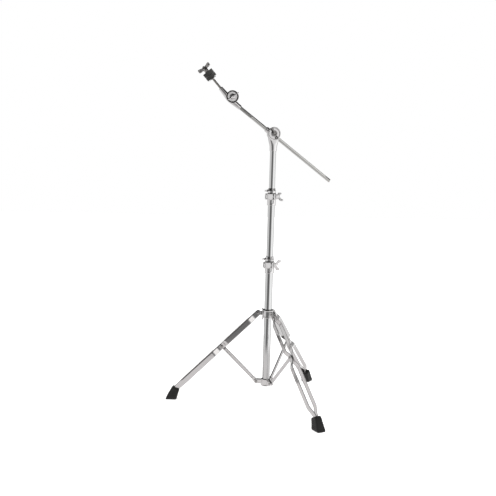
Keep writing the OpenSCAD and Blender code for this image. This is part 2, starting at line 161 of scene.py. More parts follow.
def rounded(radial, axial, edge):
    """Distance to a shape with rounded rims, from its two plain distances."""
    a, b = radial + edge, axial + edge
    outside = np.hypot(np.maximum(a, 0), np.maximum(b, 0))
    return outside + np.minimum(np.maximum(a, b), 0) - edge


AXES = {"x": (0, 1, 2), "y": (1, 2, 0), "z": (2, 0, 1)}


def rod(p, axis, radius, start, end, at=(0, 0, 0), edge=0.5):
    """Cylinder along an axis, with rounded rims. Radius may be one value per point."""
    along, b, c = AXES[axis]
    q = p - np.array(at, float)
    radial = np.hypot(q[:, b], q[:, c]) - radius
    axial = np.abs(q[:, along] - (start + end) / 2) - (end - start) / 2
    return rounded(radial, axial, edge)


def cone(p, axis, r_start, r_end, start, end, at=(0, 0, 0), edge=0.5):
    """Truncated cone along an axis, with rounded rims."""
    along = AXES[axis][0]
    share = (p[:, along] - at[along] - start) / (end - start)
    return rod(p, axis, r_start + (r_end - r_start) * share, start, end, at, edge)


def block(p, low, high, edge=0.8):
    """Box between two corners, with rounded edges."""
    low, high = np.array(low, float), np.array(high, float)
    q = np.abs(p - (low + high) / 2) - (high - low) / 2 + edge
    return np.linalg.norm(np.maximum(q, 0), axis=1) + np.minimum(q.max(axis=1), 0) - edge


def outline(u, v, corners):
    """Signed distance to a polygon in a plane."""
    best = np.full(len(u), 1e9)
    inside = np.zeros(len(u), bool)
    for (au, av), (bu, bv) in zip(corners, corners[1:] + corners[:1]):
        eu, ev = bu - au, bv - av
        t = np.clip(((u - au) * eu + (v - av) * ev) / (eu * eu + ev * ev), 0, 1)
        best = np.minimum(best, np.hypot(u - au - t * eu, v - av - t * ev))
        if ev:
            inside ^= ((av > v) != (bv > v)) & (u < eu * (v - av) / ev + au)
    return np.where(inside, -best, best)


def turned(p, degrees, axis="z"):
    """Points as seen from a frame turned about an axis."""
    a = math.radians(degrees)
    _, b, c = AXES[axis]
    q = p.copy()
    q[:, b] = p[:, b] * math.cos(a) + p[:, c] * math.sin(a)
    q[:, c] = -p[:, b] * math.sin(a) + p[:, c] * math.cos(a)
    return q


def moved(p, x=0.0, y=0.0, z=0.0):
    """Points as seen from a frame moved to x, y, z."""
    return p - np.array((x, y, z))


def mirrored(p, axis):
    """Points folded onto the positive side of an axis."""
    q = p.copy()
    q[:, axis] = np.abs(q[:, axis])
    return q


def ramp(value, start, end):
    """0 before start, 1 after end, smooth between."""
    t = np.clip((value - start) / (end - start), 0, 1)
    return t * t * (3 - 2 * t)


# ---- Meshing
CORNERS = [np.array(c) for c in np.ndindex(2, 2, 2)]
EDGES = [(a, b) for a in CORNERS for b in CORNERS if (b - a).min() == 0 and (b - a).sum() == 1]
UNITS = np.eye(3, dtype=int)
PROJECTIONS = 3
PROBE = 0.02
LEAST_STEEPNESS = 0.2


def window(values, corner, size):
    """Part of a grid of values."""
    return values[tuple(slice(c, c + n) for c, n in zip(corner, size))]


def surface(field, low, high, step):
    """Quads on a field's zero surface, one vertex per crossed cell, moved onto the surface."""
    low, step = np.array(low, float), np.array(step, float) * np.ones(3)
    count = np.ceil((np.array(high, float) - low) / step).astype(int) + 1
    ticks = [low[a] + step[a] * np.arange(count[a]) for a in range(3)]
    grid = np.stack(np.meshgrid(*ticks, indexing="ij"), -1).reshape(-1, 3)
    value = field(grid).reshape(count)
    cells = count - 1
    total, hits = np.zeros((*cells, 3)), np.zeros(cells)
    for a, b in EDGES:
        at_a, at_b = window(value, a, cells), window(value, b, cells)
        crossed = (at_a < 0) != (at_b < 0)
        share = np.where(crossed, at_a / np.where(crossed, at_a - at_b, 1), 0)
        total += (a + share[..., None] * (b - a)) * crossed[..., None]
        hits += crossed
    used = np.argwhere(hits > 0)
    index = np.full(cells, -1)
    index[tuple(used.T)] = np.arange(len(used))
    points = low + step * (used + total[tuple(used.T)] / hits[tuple(used.T)][:, None])
    faces = []
    for along in range(3):
        b, c = (along + 1) % 3, (along + 2) % 3
        span = count - UNITS[along]
        first = window(value, (0, 0, 0), span) < 0
        second = window(value, UNITS[along], span) < 0
        edges = np.argwhere(first != second)
        edges = edges[(edges[:, b] > 0) & (edges[:, c] > 0)]
        edges = edges[(edges[:, b] < cells[b]) & (edges[:, c] < cells[c])]
        ring = [edges - UNITS[b] - UNITS[c], edges - UNITS[c], edges, edges - UNITS[b]]
        quads = np.stack([index[tuple(r.T)] for r in ring], 1)
        backward = ~first[tuple(edges.T)]
        quads[backward] = quads[backward][:, ::-1]
        faces.append(quads)
    for _ in range(PROJECTIONS):
        change = [(field(points + s) - field(points - s)) / (2 * PROBE) for s in UNITS * PROBE]
        slope = np.stack(change, 1)
        steepness = np.maximum((slope**2).sum(1), LEAST_STEEPNESS)
        shift = (field(points) / steepness)[:, None] * slope
        points = points - np.clip(shift, -step / 2, step / 2)
    return points, np.concatenate(faces)


NO_CORNER = -1


def grid_faces(rows, columns, wrap_rows):
    """Quads over a grid of points whose columns close on themselves."""
    quads = []
    for row in range(rows if wrap_rows else rows - 1):
        here = row * columns + np.arange(columns)
        there = (row + 1) % rows * columns + np.arange(columns)
        quads.append(np.stack([here, there, np.roll(there, -1), np.roll(here, -1)], 1))
    return np.concatenate(quads)


SUPPORT = 0.35


def with_supports(points, wrap):
    """Adds points near both ends of long straight stretches, so that shading stays crisp."""
    result = []
    count = len(points)
    for i, here in enumerate(points):
        result.append(here)
        if i == count - 1 and not wrap:
            break
        there = points[(i + 1) % count]
        length = math.dist(here, there)
        if length > 4 * SUPPORT:
            for share in (SUPPORT / length, 1 - SUPPORT / length):
                result.append([a + (b - a) * share for a, b in zip(here, there)])
    return result


def turns(columns):
    """Angles of evenly spaced columns."""
    return np.arange(columns) * 2 * math.pi / columns


def revolved(x, radii, columns, closed):
    """Rings about X, joined. Radii are per ring or per point; open ends get a fan to a pole."""
    turn = turns(columns)
    r = np.broadcast_to(np.reshape(radii, (len(x), -1)), (len(x), columns))
    along = np.repeat(x, columns)
    points = np.stack([along, (r * np.cos(turn)).ravel(), (r * np.sin(turn)).ravel()], 1)
    faces = grid_faces(len(x), columns, closed)[:, ::-1]
    if closed:
        return points, faces
    count, here, none = len(points), np.arange(columns), np.full(columns, NO_CORNER)
    there = np.roll(here, -1)
    last = count - columns
    first_cap = np.stack([np.full(columns, count), there, here, none], 1)
    last_cap = np.stack([np.full(columns, count + 1), last + here, last + there, none], 1)
    points = np.vstack([points, [[x[0], 0, 0], [x[-1], 0, 0]]])
    return points, np.concatenate([faces, first_cap, last_cap])


def lathe(profile, columns=96):
    """Solid of revolution about X. A profile that starts and ends on the axis gets two poles."""
    solid = profile[0][1] < 1e-6
    rings = np.array(with_supports(profile, not solid), float)
    if not solid:
        return revolved(rings[:, 0], rings[:, 1], columns, True)
    points, faces = revolved(rings[1:-1, 0], rings[1:-1, 1], columns, False)
    points[-2:, 0] = profile[0][0], profile[-1][0]
    return points, faces


def through(matrix, shape):
    """A shape's points carried through a matrix."""
    m = np.array(matrix)
    return shape[0] @ m[:3, :3].T + m[:3, 3], shape[1]


def together(*shapes):
    """Several shapes as one."""
    faces, start = [], 0
    for points, quads in shapes:
        faces.append(np.where(quads == NO_CORNER, NO_CORNER, quads + start))
        start += len(points)
    return np.vstack([points for points, _ in shapes]), np.concatenate(faces)


def mesh_of(name, shape):
    """Blender mesh, shaded smooth, from points and three- or four-cornered faces."""
    points, faces = shape
    corners = (faces != NO_CORNER).sum(1)
    mesh = bpy.data.meshes.new(name)
    mesh.vertices.add(len(points))
    mesh.vertices.foreach_set("co", points.astype(np.float32).ravel())
    mesh.loops.add(int(corners.sum()))
    mesh.loops.foreach_set("vertex_index", faces[faces != NO_CORNER].astype(np.int32))
    mesh.polygons.add(len(faces))
    starts = np.concatenate([[0], np.cumsum(corners)[:-1]]).astype(np.int32)
    mesh.polygons.foreach_set("loop_start", starts)
    mesh.polygons.foreach_set("use_smooth", np.ones(len(faces), bool))
    mesh.update(calc_edges=True)
    mesh.validate()
    return mesh


def put(name, data):
    """New object in the scene."""
    made = bpy.data.objects.new(name, data)
    bpy.context.scene.collection.objects.link(made)
    return made


def show(node, shape, matrix, material, name=None):
    """Puts a finished shape in the scene in place of a CAD node, on that node's body."""
    mesh = mesh_of(node, shape)
    piece = put(name or node + "_made", mesh)
    piece.matrix_world = matrix
    mesh.materials.append(MATERIALS[material])
    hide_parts(node)
    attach(piece, frame["nodes"][node]["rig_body"])


MARGIN = 1.2


def cast(node, field, matrix, material, step=0.6, *values, **named):
    """A piece with rounded edges and fillets, from a distance field in a local frame."""
    low, high = extent(node, matrix)
    pad = Vector((MARGIN, MARGIN, MARGIN))
    shape = surface(lambda p: field(p, *values, **named), low - pad, high + pad, step)
    show(node, shape, matrix, material)


def turn_up(node, profile, matrix, material, columns=96):
    """A lathed piece, from its profile along and away from the local X axis."""
    show(node, lathe(profile, columns), matrix, material)


def arc(along, radius, size, start, end, steps=5):
    """Profile points on an arc, with angles in degrees from the axis direction."""
    angles = np.radians(np.linspace(start, end, steps))
    return [[along + size * math.cos(a), radius + size * math.sin(a)] for a in angles]


def tube_profile(radius, bore, start, end, lip=0.4):
    """Profile of a tube with rounded lips."""
    return (
        arc(start + lip, radius - lip, lip, 180, 90)
        + arc(end - lip, radius - lip, lip, 90, 0)
        + arc(end - lip, bore + lip, lip, 0, -90)
        + arc(start + lip, bore + lip, lip, -90, -180)
    )


def feed(tree, node, inputs):
    """Sets or links a node's inputs."""
    for name, value in inputs.items():
        if isinstance(value, bpy.types.NodeSocket):
            tree.links.new(value, node.inputs[name])
        else:
            node.inputs[name].default_value = value


def add(tree, kind, inputs={}, **settings):
    """New shader node, with its settings and input values."""
    node = tree.nodes.new("ShaderNode" + kind)
    for name, value in settings.items():
        setattr(node, name, value)
    feed(tree, node, inputs)
    return node


def speckle(tree, scale, detail=3.0, stretch=(1, 1, 1)):
    """Noise in a piece's own millimetres, from 0 to 1."""
    place_in = add(tree, "TexCoord").outputs["Object"]
    spread = add(tree, "Mapping", {"Vector": place_in, "Scale": stretch}).outputs["Vector"]
    noisy = add(tree, "TexNoise", {"Vector": spread, "Scale": scale, "Detail": detail})
    return noisy.outputs["Fac"]


def mapped(tree, value, start, end, low=0.0, high=1.0):
    """Straight map from start..end to low..high, clamped."""
    inputs = {"Value": value, "From Min": start, "From Max": end, "To Min": low, "To Max": high}
    return add(tree, "MapRange", inputs).outputs["Result"]


def between(tree, factor, low, high):
    """Remaps noise around its middle to a range of values."""
    return mapped(tree, factor, 0.3, 0.7, low, high)


def mixed(tree, factor, first, second):
    """Mix of two colours, or of colour sockets (6 and 7 are a Mix node's colour inputs)."""
    inputs = {"Factor": factor, 6: first, 7: second}
    return add(tree, "Mix", inputs, data_type="RGBA").outputs[2]


def tint(tree, factor, first, second):
    """Mix of two plain colours."""
    return mixed(tree, factor, (*first, 1), (*second, 1))


def bumped(tree, height, strength, distance, under=None):
    """Bump over another normal, if there is one."""
    inputs = {"Height": height, "Strength": strength, "Distance": distance}
    if under is not None:
        inputs["Normal"] = under
    return add(tree, "Bump", inputs).outputs["Normal"]


def finish_of(name, build):
    """Material whose Principled inputs are the ones that build(tree) returns."""
    material = bpy.data.materials.new(name)
    material.use_nodes = True
    tree = material.node_tree
    feed(tree, tree.nodes["Principled BSDF"], build(tree))
    return material


def chrome(colour, dull, wave, wave_scale, stretch=(1, 1, 1), low=0.05, high=0.11, metal=1.0):
    """Chrome plate: colour drifts to dull, with faint waves in the metal and fine polish marks."""

    def build(tree):
        drift = speckle(tree, 0.03, 4.0)
        marks = speckle(tree, 2.4, 6.0, stretch)
        waves = speckle(tree, wave_scale, 2.0, stretch)
        rolled = bumped(tree, waves, wave, MM)
        return {
            "Base Color": tint(tree, drift, colour, dull),
            "Metallic": metal,
            "Roughness": between(tree, marks, low, high),
            "Normal": bumped(tree, marks, 0.03, 0.05 * MM, rolled),
        }

    return build


def plastic(colour, dull, drift_scale, grain_scale, low, high, relief, more={}):
    """Moulded plastic with a fine grain."""

    def build(tree):
        grain = speckle(tree, grain_scale, 4.0)
        return {
            "Base Color": tint(tree, speckle(tree, drift_scale), colour, dull),
            "Roughness": between(tree, grain, low, high),
            "Normal": bumped(tree, grain, relief, 0.1 * MM),
            **more,
        }

    return build


def rubber(tree):
    """Dull, slightly dusty rubber with pores."""
    dust = speckle(tree, 0.09, 6.0)
    pores = speckle(tree, 1.3, 6.0)
    return {
        "Base Color": tint(tree, dust, (0.006, 0.006, 0.006), (0.016, 0.016, 0.015)),
        "Roughness": between(tree, pores, 0.35, 0.6),
        "Specular IOR Level": 0.45,
        "Normal": bumped(
            tree, speckle(tree, 0.35), 0.8, 0.5 * MM, bumped(tree, pores, 0.3, 0.15 * MM)
        ),
    }


def felt(tree):
    """Pressed wool: fibres over tufts, with a sheen."""
    fibres = speckle(tree, 1.1, 8.0)
    tufts = speckle(tree, 0.28, 5.0)
    return {
        "Base Color": tint(tree, fibres, (0.017, 0.017, 0.016), (0.045, 0.045, 0.043)),
        "Roughness": 0.95,
        "Specular IOR Level": 0.15,
        "Sheen Weight": 0.35,
        "Sheen Roughness": 0.5,
        "Sheen Tint": (0.5, 0.5, 0.48, 1),
        "Normal": bumped(tree, fibres, 0.9, 0.4 * MM, bumped(tree, tufts, 0.5, 0.6 * MM)),
    }


LENGTHWISE = (0.06, 1, 1)
SATIN = {"low": 0.24, "high": 0.32, "metal": 0.7}
PRESSED, KNURLED = {"low": 0.08, "high": 0.15}, {"low": 0.2, "high": 0.32}
PLATED, THREADED = {"low": 0.2, "high": 0.34}, {"low": 0.2, "high": 0.3}
NYLON, CAP = ((0.018, 0.018, 0.019), (0.03, 0.03, 0.031)), ((0.78, 0.78, 0.76), (0.68, 0.68, 0.66))
CAP_GLOW = {"Subsurface Weight": 0.1, "Subsurface Scale": 2 * MM}
MATERIALS = {
    name: finish_of(name, build)
    for name, build in {
        "chrome_tube": chrome((0.66, 0.66, 0.66), (0.61, 0.61, 0.61), 0.05, 0.08, LENGTHWISE),
        "chrome_rod": chrome((0.63, 0.63, 0.62), (0.57, 0.57, 0.55), 0.05, 0.1, LENGTHWISE),
        # Darker chrome for the knurl: painted shade of its grooves
        "knurl_shaded_chrome": chrome((0.40, 0.40, 0.39), (0.34, 0.34, 0.33), 0.1, 0.8, **KNURLED),
        "chrome_pressing": chrome((0.71, 0.70, 0.70), (0.65, 0.64, 0.64), 0.08, 0.1, **PRESSED),
        "chrome_casting": chrome((0.74, 0.73, 0.73), (0.67, 0.66, 0.66), 0.08, 0.1),
        "satin_casting": chrome((0.76, 0.75, 0.75), (0.68, 0.67, 0.67), 0.08, 0.1, **SATIN),
        "shaded_casting": chrome((0.34, 0.335, 0.33), (0.28, 0.275, 0.27), 0.08, 0.1),
        # Near-black chrome for the cymbal tilter's rim: a painted dark reflection
        "dark_reflection_chrome": chrome((0.07, 0.068, 0.066), (0.05, 0.048, 0.046), 0.08, 0.1),
        "plated_steel": chrome((0.42, 0.41, 0.40), (0.35, 0.34, 0.33), 0.2, 0.3, **PLATED),
        "threaded_steel": chrome((0.36, 0.35, 0.33), (0.29, 0.28, 0.26), 0.1, 0.4, **THREADED),
        "black_nylon": plastic(*NYLON, 0.1, 1.6, 0.38, 0.55, 0.12),
        "pale_cap": plastic(*CAP, 0.2, 1.2, 0.4, 0.55, 0.1, CAP_GLOW),
        "foot_rubber": rubber,
        "felt": felt,
    }.items()
}


# ---- Column tubes
TUBE_WALL = 1.2


def tube(node):
    """Column tube with rolled lips, and its radius."""
    low, high = extent(node, UP)
    profile = tube_profile(high.y, high.y - TUBE_WALL, low.x, high.x)
    turn_up(node, profile, UP, "chrome_tube", 128)
    return high.y


BASE_R = tube("base_tube")
MID_R = tube("mid_tube")
UPPER_R = tube("upper_tube")


def base_plug():
    """Nylon plug that closes the bottom of the base tube."""
    low, high = extent("base_plug", UP)
    rim = extent("base_tube", UP)[0].x - 0.05
    inner = BASE_R - TUBE_WALL - 0.02
    profile = [[low.x, 0], [low.x, BASE_R - 6]] + arc(low.x + 1.2, BASE_R - 1.2, 1.2, 180, 90)
    profile += arc(rim - 0.4, BASE_R - 0.4, 0.4, 90, 0, 3) + [[rim, inner]]
    profile += arc(high.x - 1, inner - 1, 1, 90, 0, 4)
    profile += [[high.x, inner - 3], [low.x + 4, inner - 4], [low.x + 4, 0]]
    turn_up("base_plug", profile, UP, "black_nylon")


base_plug()


# ---- Stay bracket and collar
PIN_R = 3.0
STAY_GAP = 3.1
BRACKET_LUG = (4.0, 8.5)
COLLAR_LUG = (8.0, 7.5)
BOLT_R = 4.0
SEAT, RUN = 0.02, 0.05
BEAD_H = 3.6


def beaded_ring(p, start, end, radius, edge, bead_r, inset):
    """Ring round the column, with a raised bead near each end."""
    ring = rod(p, "z", radius, start, end, edge=edge)
    start, end = start + inset, end - inset
    lower = rod(p, "z", bead_r, start, start + BEAD_H, edge=1.2)
    upper = rod(p, "z", bead_r, end - BEAD_H, end, edge=1.2)
    return join(1.2, ring, np.minimum(lower, upper))


def lug(q, root, start, end, radius, height, edges):
    """A lug from root out to a pivot pin, as wide as start to end."""
    arm = block(q, (root, start, height - radius), (PIVOT_R, end, height + radius), edges[0])
    return np.minimum(arm, rod(q, "y", radius, start, end, (PIVOT_R, 0, height), edges[1]))


def pin_hole(q, start, height):
    return rod(q, "y", PIN_R + SEAT, start, 20, (PIVOT_R, 0, height), 0)


def bracket_field(p):
    """Ring on the base tube with three pairs of lugs for the stays."""
    low, high = extent("stay_bracket", COLUMN)
    body = beaded_ring(p, low.z, high.z, radius=18.0, edge=1.6, bead_r=18.5, inset=1.0)
    width, radius = BRACKET_LUG
    holes = rod(p, "z", BASE_R + SEAT, low.z - 5, high.z + 5)
    for turn in LEG_TURNS:
        q = mirrored(turned(p, turn), 1)
        ear = lug(q, 10, STAY_GAP, STAY_GAP + width, radius, STAY_PIN_Z, (0.8, 0.9))
        slot = block(q, (BASE_R + 5, -1, STAY_PIN_Z - 11), (60, STAY_GAP, STAY_PIN_Z + 11), 0.4)
        body = cut(join(3, body, ear), slot, 0.5)
        holes = np.minimum(holes, pin_hole(q, -1, STAY_PIN_Z))
    return cut(body, holes)


def collar_field(p):
    """Sliding ring with three lugs for the legs and a boss for the wing bolt."""
    low, high = extent("leg_collar", COLUMN)
    body = beaded_ring(p, low.z, high.z, radius=19.2, edge=1.4, bead_r=20.0, inset=0.8)
    width, radius = COLLAR_LUG
    holes = rod(p, "z", BASE_R + 2.02, low.z - 5, high.z + 5)
    for turn in LEG_TURNS:
        q = turned(p, turn)
        body = join(3.5, body, lug(q, 12, -width / 2, width / 2, radius, LEG_PIN_Z, (1, 1)))
        holes = np.minimum(holes, pin_hole(q, -20, LEG_PIN_Z))
    q = moved(turned(p, COLLAR_BOLT_TURN), z=COLLAR_BOLT_Z)
    boss = cone(q, "x", 8, 7, 12, COLLAR_BOSS_X, edge=1)
    body = blend_max(join(3.5, body, boss), low.z - 0.4 - p[:, 2], 1)
    return cut(body, np.minimum(holes, rod(q, "x", BOLT_R + RUN, 5, 60)))


bolt_way = joint_axis("collar_bolt_turn")
bolt_at = COLUMN.inverted() @ joint_at("collar_bolt_turn")
COLLAR_BOLT_TURN = math.degrees(math.atan2(bolt_way.y, bolt_way.x))
COLLAR_BOLT_Z = bolt_at.z
COLLAR_BOSS_X = math.hypot(bolt_at.x, bolt_at.y)
cast("stay_bracket", bracket_field, COLUMN, "chrome_casting")
cast("leg_collar", collar_field, COLUMN, "chrome_casting")


def collar_bush():
    """Nylon bush inside the sliding collar, with a flange on top of it."""
    low, high = extent("collar_bush", UP)
    bore, body = BASE_R + RUN, BASE_R + 2
    top = high.x - 1.58
    profile = [[low.x + 0.6, bore], [low.x, bore + 0.6], [low.x, body], [top, body], [top, high.y]]
    profile += arc(high.x - 0.7, high.y - 0.7, 0.7, 90, 0, 4)
    profile += arc(high.x - 0.6, bore + 0.6, 0.6, 0, -90, 4)
    turn_up("collar_bush", profile, UP, "black_nylon")


collar_bush()


def riveted(radius, seat, head_r, head_h):
    """Pin with two domed heads whose undersides are at plus and minus seat along X."""
    sagitta = head_r * 0.82
    half = seat + head_h
    dome = [
        [seat + head_h * math.cos(a) ** 0.8, head_r * math.sin(a)]
        for a in np.radians(np.linspace(90, 6, 7))
    ]
    right = [[0, radius], [seat, radius], [seat, sagitta], [seat + 0.15, head_r - 0.1]] + dome[1:]
    left = [[-x, r] for x, r in right[::-1]]
    return lathe([[-half, 0]] + left + right[1:] + [[half, 0]], 48)


def across(matrix, x, z):
    """Frame whose X lies across a leg, at x and z of the leg's frame."""
    turn = Matrix(((0, 0, 1, 0), (1, 0, 0, 0), (0, 1, 0, 0), (0, 0, 0, 1)))
    return matrix @ Matrix.Translation((x, 0, z)) @ turn


def pins(node, height, seat, head_r, head_h):
    """The three pivot pins of the bracket or of the collar, as one piece."""
    one = riveted(PIN_R, seat, head_r, head_h)
    seats = [COLUMN.inverted() @ across(side, PIVOT_R, height) for side, *_ in LEGS.values()]
    show(node, together(*(through(seat, one) for seat in seats)), COLUMN, "plated_steel")


pins("stay_pins", STAY_PIN_Z, 7.12, 5.0, 1.48)
pins("collar_pins", LEG_PIN_Z, 6.0, 5.2, 1.7)


# ---- Stays, leg straps, rivets, feet
STAY_HALF_W, STAY_HALF_D = 3.0, 8.0


def stay_field(p):
    """Flattened tube with pressed eyes and a shallow groove along each side."""
    x, y, z = p.T
    eye = np.minimum(np.abs(x), np.abs(x - LINK))
    half_w = STAY_HALF_W - 0.25 * (1 - ramp(eye, 8, 16))
    half_d = STAY_HALF_D - 0.7 * ramp(eye, 9, 20)
    flat = np.hypot(np.maximum(np.abs(z) - (half_d - half_w), 0), y) - half_w
    band = np.maximum(np.abs(z) - half_d, np.abs(y) - half_w)
    section = np.where(eye > 14, flat, flat * ramp(eye, 4, 14) + band * (1 - ramp(eye, 4, 14)))
    past = np.maximum(0, np.maximum(-x, x - LINK))
    ends = np.hypot(past, z) - half_d
    body = blend_max(section, ends, 1.6)
    groove_end = np.maximum(24 - x, x - (LINK - 24))
    groove_side = np.hypot(np.maximum(groove_end, 0), z) - 2.8
    groove = rounded(groove_side, STAY_HALF_W - 0.55 - np.abs(y), 0.1)
    body = cut(body, groove, 1.2)
    holes = np.minimum(
        rod(p, "y", PIN_R + RUN, -9, 9, edge=0), rod(p, "y", PIN_R + RUN, -9, 9, (LINK, 0, 0), 0)
    )
    return cut(body, holes, 0.5)


SHEET = 1.8
FLANGE = 2.6
TOP_HALF, WAIST_HALF, FOOT_HALF = 5.9, 4.9, 5.5
WIDE_HALF = extent("leg_1_strap_left", LEGS[1][1])[1].y
STRAP_HALF_D = extent("leg_1_strap_left", LEGS[1][1])[1].z
STRAP_END = extent("leg_1_strap_left", LEGS[1][1])[1].x
BENDS = [
    (22, 44, WIDE_HALF - TOP_HALF),
    (166, 178, WAIST_HALF - WIDE_HALF),
    (204, 226, WIDE_HALF - WAIST_HALF),
    (386, 418, FOOT_HALF - WIDE_HALF),
]
BEND_SOFT = 5.0


def eased(u):
    """Straight line through the origin, only above zero, with its corner rounded."""
    return np.where(u > BEND_SOFT, u, np.clip(u + BEND_SOFT, 0, None) ** 2 / (4 * BEND_SOFT))


def strap_face(x):
    """Distance of a strap's outer face from the leg's middle."""
    y = TOP_HALF
    for start, end, rise in BENDS:
        y = y + rise * (eased(x - start) - eased(x - end)) / (end - start)
    return y


def strap_field(p, side):
    """Channel-section strap whose faces follow the bends, with its flanges turned inwards."""
    x, z = p[:, 0], p[:, 2]
    y = p[:, 1] * side
    slope = (strap_face(x + 0.1) - strap_face(x - 0.1)) / 0.2
    depth = (strap_face(x) - y) / np.sqrt(1 + slope**2)
    outer = rounded(np.abs(z) - STRAP_HALF_D, -depth, 2.6)
    inner = rounded(np.abs(z) - STRAP_HALF_D + SHEET, SHEET - depth, 0.9)
    open_room = ramp(x, 150, 160) * (1 - ramp(x, 213, 223)) * (z < 0)
    lip = SHEET + (FLANGE - SHEET) * ramp(x, 14, 26) * (1 - open_room)
    body = blend_max(blend_max(outer, -inner, 0.5), depth - lip, 0.9)
    top = np.where(x < 0, np.hypot(x, z) - STRAP_HALF_D, -STRAP_HALF_D)
    body = blend_max(body, np.maximum(top, x - STRAP_END), 0.8)
    holes = np.minimum(
        rod(p, "y", PIN_R + RUN, -30, 30, edge=0),
        rod(p, "y", PIN_R + SEAT, -30, 30, (LINK, 0, 0), 0),
    )
    return cut(body, holes, 0.4)


FOOT_SIDE = [(337, 0), (379, 0), (375, 12), (352, 51), (326, 38)]
SOLE_HALF, ANKLE_HALF = 17.0, 12.5
FOOT_TOP = 52.0


def foot_field(p, leg_from_side):
    """Ribbed rubber boot with a tread under it and a pocket for the leg's end."""
    x, y, z = p.T
    body = np.full(len(p), -1e9)
    for (xa, za), (xb, zb) in zip(FOOT_SIDE, FOOT_SIDE[1:] + FOOT_SIDE[:1]):
        length = math.hypot(xb - xa, zb - za)
        edge = ((x - xa) * (zb - za) - (z - za) * (xb - xa)) / length
        body = edge if body[0] < -1e8 else blend_max(body, edge, 4.5)
    lean = (SOLE_HALF - ANKLE_HALF) / (FOOT_TOP - 8)
    flank = (np.abs(y) - SOLE_HALF + lean * np.maximum(z - 8, 0)) / math.hypot(1, lean)
    body = blend_max(body, flank, 6)
    heel = 0.5 + 0.5 * np.cos((z - 13) * 2 * math.pi / 6.2)
    ribs = 0.9 * heel**2 * ramp(z, 9, 13) * (1 - ramp(z, 34, 38))
    body = body + ribs
    tread = 0.5 + 0.5 * np.cos((x - 337) * 2 * math.pi / 7)
    body = body + 1.1 * tread**3 * (1 - ramp(z, 0.6, 1.8)) * (1 - ramp(np.abs(y), 11, 13))
    m = leg_from_side
    q = p @ m[:3, :3].T + m[:3, 3]
    reach = STRAP_HALF_D + 0.1
    width = FOOT_HALF + 0.1
    pocket = block(q, (396, -width, -reach), (STRAP_END + 0.1, width, reach), 2.4)
    return cut(body, pocket, 0.8)


for number, (side_place, leg_place, stay_place, _) in LEGS.items():
    name = f"leg_{number}_"
    cast(f"stay_{number}", stay_field, stay_place, "chrome_pressing", (1.2, 0.45, 0.5))
    for end, side in (("strap_left", 1), ("strap_right", -1)):
        cast(name + end, strap_field, leg_place, "chrome_pressing", (1.5, 0.6, 0.6), side)
    rivet = riveted(PIN_R, WAIST_HALF + SEAT, 5.2, 1.78)
    show(name + "rivet", rivet, across(leg_place, LINK, 0), "plated_steel")
    to_leg = np.array(leg_place.inverted() @ side_place)
    cast(name + "foot", foot_field, side_place, "foot_rubber", 0.8, to_leg)


# ---- Wing nuts and wing bolts
def wing_field(p, hub_r, hub_h, half_span, low, high, bore=0.0, shank=0.0, sweep=6.6, pit=0.0):
    """Cast wing: a hub on Z = 0, two blades along X that rise to high at their tips."""
    blade_line = [
        (0, low + 2.6),
        (half_span - 6, low + sweep + 1),
        (half_span - 2.6, low + sweep + 2.8),
        (half_span - 2.6, high - 2.6),
        (half_span - 6, high - 2.6),
        (hub_r + 1.5, low + 8.6),
        (0, low + 7.4),
    ]
    q = mirrored(p, 0)
    x, y, z = q.T
    skirt = rod(q, "z", hub_r, 0, hub_h * 0.62, edge=0.7)
    crown = cone(q, "z", hub_r - 0.1, hub_r - 1.8, hub_h * 0.5, hub_h, edge=1.2)
    blade = outline(x, z, blade_line) - 2.4
    thick = 2.5 - 0.7 * ramp(x, hub_r, half_span)
    blade = blend_max(blade, np.abs(y) - thick, 1.8)
    dish_at = (half_span - 6.6, thick.max() + 10.2, (low + sweep + 2.4 + high) / 2)
    dish = np.linalg.norm(mirrored(q, 1) - np.array(dish_at), axis=1) - 11
    body = join(3, np.minimum(skirt, crown), cut(blade, dish, 1))
    if bore:
        body = cut(body, rod(q, "z", bore, -5, 60), 0.8)
    if pit:
        body = cut(body, rod(q, "z", pit, hub_h - 5, 60), 0.6)
    if shank:
        body = join(0.4, body, rod(q, "z", BOLT_R, -shank, 2))
    return body


def wing(node, seat, axis, span, material="chrome_casting", **sizes):
    """Wing nut or bolt with its hub on seat, pointing along axis, with its blades along span."""
    cast(node, wing_field, place(seat, span, axis.cross(span)), material, 0.5, **sizes)


HUB_R = 9.5


def clamp_wing_bolt(number, roll):
    """Wing bolt of a height clamp, its blades turned by roll from the column's direction."""
    node = f"clamp_{number}_wing_bolt"
    joint = f"clamp_{number}_bolt_turn"
    a = math.radians(roll)
    seat = joint_at(joint) + X * 0.1 * MM
    reach = (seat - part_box(node)[0]).x / MM
    span = Vector((0, math.sin(a), -math.cos(a)))
    sizes = {"hub_r": HUB_R, "hub_h": 14, "half_span": 25, "low": 7, "high": 27, "shank": reach}
    wing(node, seat, X, span, "satin_casting", **sizes)


clamp_wing_bolt(1, 35)
clamp_wing_bolt(2, -55)
boss_face = joint_at("collar_bolt_turn") + bolt_way * 0.1 * MM
wing(
    "collar_wing_bolt", boss_face, bolt_way, -Z,
    hub_r=7, hub_h=11, half_span=23, low=2, high=17, shank=COLLAR_BOSS_X - BASE_R - 2.1,
)

